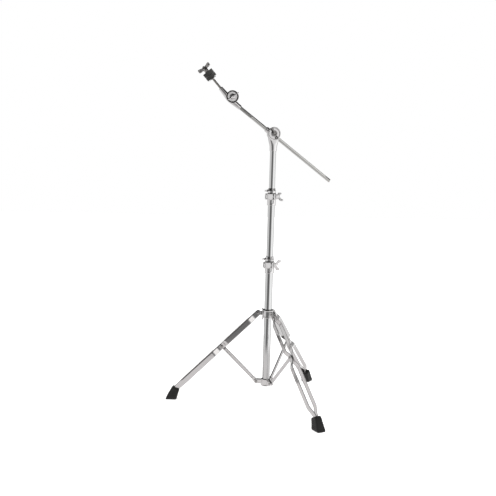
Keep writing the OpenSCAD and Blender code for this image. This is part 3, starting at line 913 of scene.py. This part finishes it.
BOOM_NUT_TURN, TILTER_SCREW_TURN = math.radians(119), math.radians(72)
nut_seat = Vector((tilt_pin.x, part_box("boom_wing_nut")[1].y, tilt_pin.z))
nut_span = X * math.cos(BOOM_NUT_TURN) + Z * math.sin(BOOM_NUT_TURN)
wing(
    "boom_wing_nut", nut_seat, -Y, nut_span, "shaded_casting",
    hub_r=9, hub_h=14, half_span=24, low=4, high=19, bore=BOLT_R + RUN,
)
screw_seat = Vector((tilter_pin.x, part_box("tilter_base")[0].y - 0.1 * MM, tilter_pin.z))
tilter_x, tilter_z = rod_way, rod_way.cross(Y)
screw_span = tilter_x * math.cos(TILTER_SCREW_TURN) + tilter_z * math.sin(TILTER_SCREW_TURN)
screw_reach = (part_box("tilter_wing_screw")[1].y - screw_seat.y) / MM
wing(
    "tilter_wing_screw", screw_seat, -Y, screw_span,
    hub_r=8.5, hub_h=10, half_span=24, low=2, high=16, shank=screw_reach, pit=2.6,
)
ROD_R = 4.0
nut_low = extent("cymbal_wing_nut", CYMBAL)[0].x
cymbal_nut_seat = beside_pin + cymbal_way * nut_low * MM
wing(
    "cymbal_wing_nut", cymbal_nut_seat, cymbal_way, Y.cross(cymbal_way), "plated_steel",
    hub_r=8, hub_h=15, half_span=25.5, low=9.5, high=24, bore=ROD_R + RUN, sweep=1.5,
)


# ---- Height clamps and memory locks
SLEEVE_H, BLOCK_H = 22.0, 22.0
TOP = SLEEVE_H + BLOCK_H
SLEEVE_WALL, BLOCK_WALL, BUSH_WALL = 3.4, 4.2, 2.2
EAR_LEFT, EAR_RIGHT = 27.0, 8.5
SLOT_HALF = 1.7


def clamp_field(p, out_r, in_r, bolt_y):
    """Split clamp: a sleeve round the outer tube, and above it a block with ears and a bolt."""
    ear_front = bolt_y - 6.5
    sleeve = rod(p, "z", out_r + SLEEVE_WALL, 0, SLEEVE_H + 2, edge=1.2)
    collar = rod(p, "z", out_r + BLOCK_WALL, SLEEVE_H, TOP, edge=1.4)
    ears = block(p, (-EAR_LEFT, ear_front, SLEEVE_H), (EAR_RIGHT, -6, TOP), 2.2)
    body = join(2.4, sleeve, join(3.5, collar, ears))
    bores = np.minimum(
        rod(p, "z", out_r + SEAT, -5, SLEEVE_H, edge=0),
        rod(p, "z", in_r + BUSH_WALL + SEAT, SLEEVE_H - 1, TOP + 5),
    )
    body = cut(body, bores, 0.6)
    slit = block(p, (-SLOT_HALF, ear_front - 5, SLEEVE_H - 4), (SLOT_HALF, -6, TOP + 5), 0.1)
    eye = np.hypot(p[:, 0], np.maximum(0, np.abs(p[:, 2] - SLEEVE_H + 8) - 3.5)) - 4.2
    slit = np.minimum(slit, np.maximum(eye, p[:, 1] + 6))
    body = cut(body, slit, 0.9)
    bolt = moved(p, y=bolt_y, z=SLEEVE_H + BLOCK_H / 2)
    body = cut(body, rod(bolt, "x", BOLT_R + RUN, -60, 60), 0.5)
    body = cut(body, rod(bolt, "x", HUB_R + 0.4, EAR_RIGHT, 60, edge=0.4), 0.8)
    nut_room = block(bolt, (-60, -6.6, -6.6), (-EAR_LEFT + 6.1, 6.6, 6.6), 0.6)
    return cut(body, nut_room, 0.8)


def clamp_bush_field(p, in_r):
    """Split nylon bush with a rim on top."""
    body = rod(p, "z", in_r + BUSH_WALL, 0, BLOCK_H + 0.4, edge=0.3)
    rim = rod(p, "z", in_r + BUSH_WALL + 1.2, BLOCK_H + SEAT, BLOCK_H + 1.2, edge=0.5)
    body = np.minimum(body, rim)
    body = cut(body, rod(p, "z", in_r + RUN, -5, BLOCK_H + 5), 0.4)
    return cut(body, block(p, (-1, -30, -5), (1, 0, BLOCK_H + 5), 0.1), 0.4)


def clamp_nut_field(p):
    """Square nut with chamfered corners, and the end of the bolt's hole through it."""
    start = -EAR_LEFT - 0.8
    square = block(p, (start, -6.5, -6.5), (start + 6.8, 6.5, 6.5), 0.8)
    chamfer = cone(p, "x", 7.6, 10.6, start, start + 3, edge=0.2)
    beyond = block(p, (start + 2.9, -9, -9), (start + 9, 9, 9))
    square = blend_max(square, np.minimum(chamfer, beyond), 0.5)
    return cut(square, rod(p, "x", BOLT_R + RUN, -60, 60), 0.7)


LOCK_H, LOCK_WALL = 18.0, 4.2
KEY_R = 3.0


def lock_field(p, in_r):
    """Memory lock: a split ring with a tapered top and a boss for its key bolt."""
    ring = rod(p, "z", in_r + LOCK_WALL, 0, 8.6, edge=1)
    taper = cone(p, "z", in_r + LOCK_WALL, in_r + 2, 7.5, LOCK_H, edge=0.8)
    body = join(1.2, ring, taper)
    key = moved(p, z=8)
    body = join(2.2, body, rod(key, "x", 4.6, -in_r - 7, -in_r - 1, edge=0.8))
    body = cut(body, rod(p, "z", in_r + RUN, -5, LOCK_H + 5), 0.5)
    body = cut(body, rod(key, "x", KEY_R + RUN, -in_r - 20, 0), 0.5)
    return cut(body, block(p, (-1, -30, -5), (1, 0, LOCK_H + 5), 0.1), 0.7)


def key_bolt_field(p):
    """Key bolt: a shank, a round flange and the small square that a drum key fits."""
    shank = rod(p, "x", KEY_R, -9, -0.5, edge=0.3)
    flange = rod(p, "x", 4.4, -8.6, -7.1, edge=0.5)
    square = block(p, (-15.5, -2.9, -2.9), (-8, 2.9, 2.9), 0.6)
    return join(0.5, np.minimum(shank, flange), square)


def clamp(number, out_r, in_r):
    """All the pieces of a height clamp and of the memory lock above it."""
    body, joint = f"clamp_{number}_body", f"clamp_{number}_bolt_turn"
    ring = f"memory_lock_{number}"
    foot = foot_of_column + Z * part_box(body)[0].z
    here = place(foot, X, Y)
    bolt = here.inverted() @ joint_at(joint)
    cast(body, clamp_field, here, "chrome_casting", 0.5, out_r, in_r, bolt.y)
    above = place(foot + Z * SLEEVE_H * MM, X, Y)
    cast(f"clamp_{number}_bush", clamp_bush_field, above, "black_nylon", 0.5, in_r)
    on_axis = place(foot + Vector((0, bolt.y, bolt.z)) * MM, X, Y)
    cast(f"clamp_{number}_nut", clamp_nut_field, on_axis, "chrome_casting", 0.4)
    lock_foot = foot_of_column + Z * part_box(ring)[0].z
    cast(ring, lock_field, place(lock_foot, X, Y), "chrome_casting", 0.5, in_r)
    key = place(lock_foot + Vector((-in_r, 0, 8)) * MM, X, Y)
    cast(f"lock_{number}_key_bolt", key_bolt_field, key, "satin_casting", 0.4)


clamp(1, BASE_R, MID_R)
clamp(2, MID_R, UPPER_R)


# ---- Boom tilter
DISC_R = 24.0
CHEEK_BACK, CHEEK_FRONT, HOLDER_BACK = -1.0, -13.0, 12.0
BOOM_Z = (COLUMN.inverted() @ tilt_pin).z
BOOM_TURN = math.degrees(math.atan2(rod_way.z, -rod_way.x))
BOOM_ROD_R = 6.35
EYE_R, EYE_HALF = 10.5, 4.5


def socket_field(p):
    """Casting on the upper tube: a neck that swells into the front cheek of the tilter."""
    low = extent("boom_socket", COLUMN)[0].z
    x, y, z = p.T
    rise = z - low
    girth = 13.2 + 0.4 * ramp(rise, 0, 14) + 7 * ramp(rise, 12, 52)
    neck = rounded((np.hypot(x, y) - girth) * 0.97, np.abs(rise - 28) - 28, 1.2)
    neck = blend_max(neck, np.maximum(CHEEK_FRONT - y, y - 13.5), 3)
    q = moved(p, z=BOOM_Z)
    cheek = rod(q, "y", DISC_R, CHEEK_FRONT, CHEEK_BACK, edge=1.6)
    body = join(5, neck, cheek)
    clear = rod(q, "y", DISC_R + 0.6, CHEEK_BACK, 60, edge=0)
    body = cut(body, clear, 0.6)
    body = np.maximum(body, CHEEK_FRONT - y)
    dish = rod(q, "y", DISC_R - 4, CHEEK_FRONT - 6, CHEEK_FRONT + 1.6, edge=1)
    hub = rod(q, "y", 11, CHEEK_FRONT, CHEEK_BACK, edge=1)
    body = join(1.2, cut(body, dish, 1.2), hub)
    body = cut(body, rod(q, "y", BOLT_R + RUN, -60, 60), 0.6)
    return cut(body, rod(p, "z", UPPER_R + SEAT, low - 5, low + 28.1, edge=0.1), 0.8)


def washer(node, matrix, radius, bore, start, end):
    """Thin friction washer."""
    turn_up(node, tube_profile(radius, bore, start, end, 0.15), matrix, "black_nylon")


def holder_field(p):
    """Back half of the tilter: a disc that carries a short sleeve for the boom rod."""
    q = p - np.array((0, 0, BOOM_Z))
    disc = rod(q, "y", DISC_R - 0.5, 0, HOLDER_BACK, edge=1.6)
    r = turned(moved(q, y=BOOM_Y), 180 + BOOM_TURN, "y")
    sleeve = rod(r, "x", 10, -24, 30, edge=1.4)
    link = block(r, (-15, HOLDER_BACK - BOOM_Y - 4, -8.5), (15, 1, 8.5), 3)
    body = join(4, disc, join(3, sleeve, link))
    body = cut(body, rod(r, "x", BOOM_ROD_R + RUN, -60, 60), 0.8)
    body = cut(body, rod(r, "x", EYE_R + 0.3, -EYE_HALF - 0.3, EYE_HALF + 0.3, edge=0), 0.5)
    return cut(body, rod(q, "y", BOLT_R + SEAT, -20, BOOM_Y, edge=0), 0.5)


def eye_bolt_field(p):
    """Bolt across the tilter with an eye that grips the boom rod."""
    ring = rod(p, "x", EYE_R, -EYE_HALF, EYE_HALF, edge=1.2)
    start = extent("eye_bolt", BOOM)[0].y
    shank = rod(p, "y", BOLT_R, start, -BOOM_ROD_R - 1, edge=0.7)
    body = join(1.5, ring, shank)
    return cut(body, rod(p, "x", BOOM_ROD_R + RUN, -30, 30), 0.7)


cast("boom_socket", socket_field, COLUMN, "chrome_casting")
TILT_ACROSS = place(tilt_pin, Y, Z)
washer("tilt_washer", TILT_ACROSS, DISC_R - 2, BOLT_R + SEAT, CHEEK_BACK + RUN, -SEAT)
cast("rod_holder", holder_field, COLUMN, "chrome_casting")
cast("eye_bolt", eye_bolt_field, BOOM, "plated_steel", 0.4)


# ---- Boom rod
KNURL = (101.0, 154.0)
KNURL_PITCH, KNURL_DEPTH, KNURL_TEETH = 1.6, 0.22, 26
ROD_BORE = BOOM_ROD_R - 1.5


def triangle(phase):
    """Triangle wave from 0 to 1, one per unit of phase."""
    return np.abs(np.mod(phase, 1) - 0.5) * 2


def knurled(x_start, x_end, radius, bore):
    """Length of tube with a diamond knurl that fades out at both ends."""
    per_tooth = 6
    columns = KNURL_TEETH * per_tooth
    rows = int((x_end - x_start) / KNURL_PITCH * per_tooth) + 1
    x = np.linspace(x_start, x_end, rows)
    around = KNURL_TEETH * turns(columns) / (2 * math.pi)
    one = triangle(np.add.outer(x / KNURL_PITCH, around))
    two = triangle(np.add.outer(x / KNURL_PITCH, -around))
    fade = (ramp(x, x_start, x_start + 1.5) * (1 - ramp(x, x_end - 1.5, x_end)))[:, None]
    r = radius - 0.03 - KNURL_DEPTH * fade * np.maximum(one, two)
    x = np.concatenate([x, [x_end, x_start]])
    return revolved(x, np.vstack([r, np.full((2, columns), bore)]), columns, True)


def boom_rod():
    """Smooth tube, knurled on the length beside the cymbal tilter; the knurl's darker chrome is
    painted shade of its grooves.
    """
    low, high = extent("boom_rod", BOOM)
    start, end = KNURL
    tail = lathe(tube_profile(BOOM_ROD_R, ROD_BORE, low.x, start), 96)
    head = lathe(tube_profile(BOOM_ROD_R, ROD_BORE, end, high.x), 96)
    show("boom_rod", together(tail, head), BOOM, "chrome_rod")
    grip = knurled(start, end, BOOM_ROD_R, ROD_BORE)
    show("boom_rod", grip, BOOM, "knurl_shaded_chrome", "boom_rod_knurl")


boom_rod()


def boom_rod_cap():
    """Pale cap in the boom rod's far end."""
    low, high = extent("boom_rod_cap", BOOM)
    rim = extent("boom_rod", BOOM)[0].x - SEAT
    inner = ROD_BORE - SEAT
    profile = [[low.x, 0], [low.x, 2.5]] + arc(low.x + 1.4, BOOM_ROD_R - 1.4, 1.4, 180, 90)
    profile += [[rim, BOOM_ROD_R], [rim, inner]] + arc(high.x - 1, inner - 1, 1, 90, 0, 4)
    turn_up("boom_rod_cap", profile + [[high.x, 0]], BOOM, "pale_cap", 64)


boom_rod_cap()


# ---- Cymbal tilter
TILTER_R, TILTER_FACE, TILTER_SPLIT = 22.5, 9.0, 0.55
RIM_DEPTH = 2.0
RIM_W, RIM_BACK = 4.4, -6.5


def tilter_base_field(p):
    """Front half: a dished disc with a hub, and the socket on the boom rod."""
    disc = rod(p, "y", TILTER_R, -TILTER_FACE, -TILTER_SPLIT, edge=1.2)
    q = moved(p, z=TILTER_OFF)
    girth = 8.2 + 2.6 * np.clip((q[:, 0] + 48) / 44, 0, 1)
    squashed = q.copy()
    squashed[:, 1] *= np.where(q[:, 1] < 0, np.maximum(1, girth / (TILTER_FACE - 0.1)), 1)
    body = join(2.5, disc, cone(squashed, "x", 8.2, 10.8, -48, -4, edge=1))
    body = cut(body, rod(p, "y", TILTER_R + 0.5, -TILTER_SPLIT, 40, edge=0), 0.4)
    dish = rod(p, "y", TILTER_R - RIM_W, -TILTER_FACE - 6, -TILTER_FACE + RIM_DEPTH, edge=1)
    body = cut(body, np.maximum(dish, -rod(p, "y", 10, -40, 40)), 0.8)
    # Room for the separate rim ring, whose near-black chrome is a painted dark reflection
    inside = rod(p, "y", TILTER_R - RIM_W + 0.1, -60, 20, edge=0)
    rim_room = np.maximum(rod(p, "y", TILTER_R + 0.3, -40, RIM_BACK, edge=0), -inside)
    body = cut(body, rim_room, 0.3)
    rod_end = extent("boom_rod", TILTER)[1].x + 0.1
    body = cut(body, rod(q, "x", BOOM_ROD_R + SEAT, -90, rod_end, edge=0.2), 0.7)
    return cut(body, rod(p, "y", BOLT_R + RUN, -30, 30), 0.5)


def tilter_top_field(p):
    """Back half: a plain disc, and the socket that holds the cymbal rod."""
    disc = rod(p, "y", TILTER_R, TILTER_SPLIT, TILTER_FACE, edge=1.2)
    q = moved(p, z=TILTER_OFF)
    socket = cone(q, "x", 10.8, 7.4, 4, 52, edge=1)
    body = join(2.5, disc, socket)
    body = cut(body, rod(p, "y", TILTER_R + 0.5, -40, TILTER_SPLIT, edge=0), 0.4)
    rod_start = extent("cymbal_rod", TOP_TILTER)[0].x - 0.1
    body = cut(body, rod(q, "x", ROD_R + SEAT, rod_start, 90, edge=0.2), 0.7)
    return cut(body, rod(p, "y", BOLT_R + RUN, -10, 20), 0.5)


cast("tilter_base", tilter_base_field, TILTER, "chrome_casting")
cast("tilter_top", tilter_top_field, TOP_TILTER, "chrome_casting")
TILTER_ACROSS = place(tilter_pin, Y, Z)
washer_face = TILTER_SPLIT - RUN
washer("tilter_washer", TILTER_ACROSS, TILTER_R - 1, BOLT_R + RUN, SEAT - TILTER_SPLIT, washer_face)
# The rim is a separate ring in near-black chrome: a painted dark reflection round the tilter's edge
rim = tube_profile(TILTER_R, TILTER_R - RIM_W, -TILTER_FACE, RIM_BACK, 1.2)
show("tilter_base", lathe(rim, 128), TILTER_ACROSS, "dark_reflection_chrome", "tilter_base_dark_reflection_rim")


# ---- Cymbal rod, seat and felts
THREAD_FROM, THREAD_PITCH, THREAD_DEPTH = 92.0, 1.25, 0.55


def cymbal_rod():
    """Steel rod with a thread from the cup washer to its rounded tip."""
    low, high = extent("cymbal_rod", CYMBAL)
    columns = 48
    plain = [low.x, low.x + 0.01, low.x + 0.4, THREAD_FROM - 0.4]
    x = np.concatenate([plain, np.arange(THREAD_FROM, high.x, 0.2), [high.x]])
    tip = np.sqrt(np.clip(1 - ((x - high.x + 2.2) / 2.2).clip(0, 1) ** 2, 0, 1))
    base = np.minimum(ROD_R, 0.5 + (ROD_R - 0.5) * np.maximum(tip, 0.25))
    wave = triangle(np.add.outer(x / THREAD_PITCH, turns(columns) / (2 * math.pi)))
    share = (ramp(x, THREAD_FROM, THREAD_FROM + 2) * (1 - ramp(x, high.x - 2.4, high.x)))[:, None]
    r = base[:, None] - THREAD_DEPTH * share * ramp(wave, 0.1, 0.9)
    show("cymbal_rod", revolved(x, r, columns, False), CYMBAL, "threaded_steel")


cymbal_rod()


def seat_cup():
    """Dished metal washer under the felts."""
    low, high = extent("seat_cup", CYMBAL)
    bore = ROD_R + SEAT
    profile = arc(low.x + 0.5, high.y - 0.5, 0.5, 180, 90, 4)
    profile += arc(high.x - 0.4, high.y - 0.4, 0.4, 90, 0, 3) + [[high.x, high.y - 1.6]]
    profile += [[high.x - 0.7, high.y - 4], [high.x - 0.7, 11.2], [high.x, 10]]
    profile += [[high.x, bore + 0.3], [high.x - 0.3, bore]]
    profile += [[low.x + 0.3, bore], [low.x, bore + 0.3]]
    turn_up("seat_cup", profile, CYMBAL, "chrome_casting")


seat_cup()


SLEEVE_R = 5.6


def cymbal_sleeve():
    """Nylon sleeve that keeps the cymbal off the rod, with a flange at its foot."""
    low, high = extent("cymbal_sleeve", CYMBAL)
    bore, body = ROD_R + RUN, SLEEVE_R
    flange_top = low.x + 1.5
    profile = arc(low.x + 0.5, high.y - 0.5, 0.5, 180, 90, 4)
    profile += arc(flange_top - 0.5, high.y - 0.5, 0.5, 90, 0, 4)
    profile += [[flange_top, body + 0.8], [flange_top + 0.8, body]]
    profile += arc(high.x - 0.8, body - 0.5, 0.5, 90, 20, 4)
    profile += [[high.x, bore + 0.3], [high.x - 0.3, bore]]
    profile += [[low.x + 0.3, bore], [low.x, bore + 0.3]]
    turn_up("cymbal_sleeve", profile, CYMBAL, "black_nylon")


cymbal_sleeve()


FELT_CROWN = 0.25
TUFTS, FIBRES = (0.3, 0.22), (0.16, 0.9)
SUNK = 0.22


def felt_ring(node, seed):
    """Thick felt washer: rounded edges, a slightly crowned side and an uneven, fibrous skin."""
    low, high = extent(node, CYMBAL)
    bore, lip = SLEEVE_R + 1, 0.9
    height, outer = high.x - low.x, high.y - FELT_CROWN
    up = np.linspace(0.12, 0.88, 16)
    side = [[low.x + height * u, outer + FELT_CROWN * math.sin(math.pi * u)] for u in up]
    face = np.linspace(high.y - lip, bore + 1, 16)
    profile = arc(low.x + lip, outer - lip, lip, 180, 90, 6)[:-1] + side
    profile += arc(high.x - lip, outer - lip, lip, 90, 0, 6)[1:] + [[high.x, r] for r in face[1:]]
    profile += [[high.x - height * u, bore] for u in np.linspace(0.1, 0.9, 8)]
    profile += [[low.x, r] for r in face[:0:-1]]
    x, radii = np.array(profile).T
    points, faces = revolved(x, radii, 180, True)
    for point in points:
        arm = math.hypot(point[1], point[2])
        if arm <= bore + 0.5:
            continue
        spot = Vector(point) + Vector((seed, 0, 0))
        lump = sum(size * noise.noise(spot * scale) for size, scale in (TUFTS, FIBRES)) - SUNK
        from_middle = point[0] - (low.x + high.x) / 2
        if abs(from_middle) > height / 2 - 0.5:
            point[0] += lump * np.sign(from_middle)
        else:
            point[1:] *= 1 + lump / arm
    show(node, (points, faces), CYMBAL, "felt")


felt_ring("lower_felt", 0)
felt_ring("upper_felt", 60)


# ---- Studio
HEADING, PITCH, ROLL = math.radians(10.31), math.radians(5.69), math.radians(1.68)
CAMERA_AT = foot_of_column + Vector((-0.5774, -2.7164, 0.8606))


def camera():
    """A camera in front of the stand, slightly above the middle and tilted down."""
    data = bpy.data.cameras.new("camera")
    data.lens, data.sensor_width = 54.4, 36
    data.clip_start, data.clip_end = 0.05, 50
    eye = put("camera", data)
    turn = Matrix.Rotation(-HEADING, 4, "Z") @ Matrix.Rotation(math.pi / 2 - PITCH, 4, "X")
    eye.matrix_world = Matrix.Translation(CAMERA_AT) @ turn @ Matrix.Rotation(ROLL, 4, "Z")
    bpy.context.scene.camera = eye


def turned_to_camera(tree, vector):
    """X to the camera's right, Y away from it."""
    inputs = {"Vector": vector, "Rotation": (0, 0, HEADING)}
    return add(tree, "Mapping", inputs).outputs["Vector"]


WALLS = [
    (-180, 0.5), (-150, 0.7), (-110, 0.84), (-60, 0.88), (-48, 0.5), (-38, 0.2), (-4, 0.16),
    (14, 0.32), (23, 1.0), (46, 1.35), (90, 1.25), (112, 0.95), (155, 0.75), (180, 0.5),
]
FLOOR_AROUND = (0.86, 0.84, 0.845, 1)
FLOOR_PLAIN = 0.45
CEILING = (0.035, 0.035, 0.035, 1)
FLOOR_FADE, CEILING_FADE = (-0.22, -0.32), (0.16, 0.3)
# High softbox: azimuth, elevation and half width in degrees
SOFTBOX = (35, 18, 10)
SOFTBOX_GLOW = (1.3, 1.28, 1.26, 1)


def world():
    """White to the camera and soft to matt surfaces; what the chrome sees is a studio with
    grey walls, a dark gap beside the camera, a dark ceiling and one softbox."""
    made = bpy.data.worlds.new("studio")
    made.use_nodes = True
    tree = made.node_tree
    tree.nodes.clear()
    facing = turned_to_camera(tree, add(tree, "TexCoord").outputs["Generated"])
    parts = add(tree, "SeparateXYZ", {"Vector": facing}).outputs
    away = add(tree, "Math", {0: parts["Y"], 1: -1.0}, operation="MULTIPLY").outputs[0]
    azimuth = add(tree, "Math", {0: parts["X"], 1: away}, operation="ARCTAN2").outputs[0]
    ramp = add(tree, "ValToRGB", {"Fac": mapped(tree, azimuth, -math.pi, math.pi)})
    ramp_of(ramp, [((degrees + 180) / 360, value) for degrees, value in WALLS])
    walls = ramp.outputs["Color"]
    below = mapped(tree, parts["Z"], *FLOOR_FADE)
    above = mapped(tree, parts["Z"], *CEILING_FADE)
    plain_floor = mixed(tree, FLOOR_PLAIN, walls, FLOOR_AROUND)
    dark = mixed(tree, above, mixed(tree, below, walls, plain_floor), CEILING)
    turn, rise, spread = (math.radians(angle) for angle in SOFTBOX)
    level = math.cos(rise)
    centre = Vector((math.sin(turn) * level, -math.cos(turn) * level, math.sin(rise)))
    near = add(tree, "VectorMath", {0: facing, 1: centre}, operation="DOT_PRODUCT")
    lit = mapped(tree, near.outputs["Value"], math.cos(spread * 1.2), math.cos(spread * 0.8))
    room = mixed(tree, lit, dark, SOFTBOX_GLOW)
    reflected = add(tree, "Background", {"Color": room, "Strength": 1.0}).outputs[0]
    white = add(tree, "Background", {"Color": (1, 1, 1, 1), "Strength": 1.0}).outputs[0]
    path = add(tree, "LightPath").outputs
    rays = {0: path["Is Camera Ray"], 1: path["Is Diffuse Ray"]}
    plain = add(tree, "Math", rays, operation="MAXIMUM").outputs[0]
    shader = add(tree, "MixShader", {0: plain, 1: reflected, 2: white}).outputs[0]
    output = add(tree, "OutputWorld")
    tree.links.new(shader, output.inputs["Surface"])
    bpy.context.scene.world = made


def ramp_of(node, stops):
    """Fills a colour ramp with grey stops."""
    elements = node.color_ramp.elements
    while len(elements) > 1:
        elements.remove(elements[-1])
    for i, (position, value) in enumerate(stops):
        element = elements[0] if i == 0 else elements.new(position)
        element.position = position
        element.color = (value, value, value, 1)


FLOOR_SEEN = (0.84, 0.82, 0.82, 1)
FLOOR_MATT, FLOOR_WORN = (0.93, 0.93, 0.93), (0.90, 0.90, 0.90)
SWEEP = (0.75, 1.0)


def floor_material():
    """Pale floor to the camera. In the chrome it is a lit patch that fades into the studio."""
    material = finish_of(
        "pale_floor",
        lambda tree: {
            "Base Color": tint(tree, speckle(tree, 30.0, 4.0), FLOOR_MATT, FLOOR_WORN),
            "Roughness": 0.7,
            "Specular IOR Level": 0.0,
            "Emission Color": (1, 1, 1, 1),
            "Emission Strength": 0.35,
        },
    )
    tree = material.node_tree
    matt = tree.nodes["Principled BSDF"].outputs[0]
    here = add(tree, "TexCoord").outputs["Object"]
    offset = Vector((foot_of_column.x, foot_of_column.y, 0))
    radius = add(tree, "VectorMath", {0: here, 1: offset}, operation="DISTANCE").outputs["Value"]
    past = mapped(tree, radius, *SWEEP)
    patch = add(tree, "Emission", {"Color": FLOOR_SEEN}).outputs[0]
    clear = add(tree, "BsdfTransparent").outputs[0]
    seen = add(tree, "MixShader", {0: past, 1: patch, 2: clear}).outputs[0]
    camera_ray = add(tree, "LightPath").outputs["Is Camera Ray"]
    shader = add(tree, "MixShader", {0: camera_ray, 1: seen, 2: matt}).outputs[0]
    tree.links.new(shader, tree.nodes["Material Output"].inputs["Surface"])
    return material


def sheet(name, corners, material):
    """Flat, four-cornered piece of the studio."""
    mesh = bpy.data.meshes.new(name)
    mesh.from_pydata(corners, [], [(0, 1, 2, 3)])
    mesh.materials.append(material)
    made = put(name, mesh)
    return made


def soft_light(name, at, aim, size, power):
    """Square lamp that the chrome doesn't show."""
    data = bpy.data.lights.new(name, "AREA")
    data.shape, data.size, data.energy = "SQUARE", size, power
    lamp = put(name, data)
    lamp.location = at
    lamp.rotation_euler = (Vector(aim) - Vector(at)).to_track_quat("-Z", "Y").to_euler()
    lamp.visible_glossy = False


def bright(_):
    glow = (1, 0.99, 0.98, 1)
    return {"Base Color": (0, 0, 0, 1), "Emission Color": glow, "Emission Strength": 0.9}


# A glowing card over the boom's tail, in the boom's frame, that only shows in the chrome
TAIL_CARD = [(-340, -800, -180), (-30, -800, -180), (-30, 120, -380), (-340, 120, -380)]


FLOOR_REACH = 12.0
SQUARE = [(-1, -1), (1, -1), (1, 1), (-1, 1)]
FLOOR_CORNERS = [(x * FLOOR_REACH, y * FLOOR_REACH, 0) for x, y in SQUARE]

camera()
world()
sheet("floor", FLOOR_CORNERS, floor_material())
soft_light("overhead", (0.8, -1.2, 3.6), (0, 0, 0.4), 2.4, 60)
soft_light("fill", (-2.6, -2.2, 2.2), (0, 0, 0.6), 1.6, 20)
card_at = [BOOM @ Vector(corner) for corner in TAIL_CARD]
card = sheet("tail_card", card_at, finish_of("tail_card", bright))
card.visible_camera = card.visible_diffuse = False
card.visible_shadow = card.visible_transmission = False
bpy.context.scene.view_settings.view_transform = "Standard"
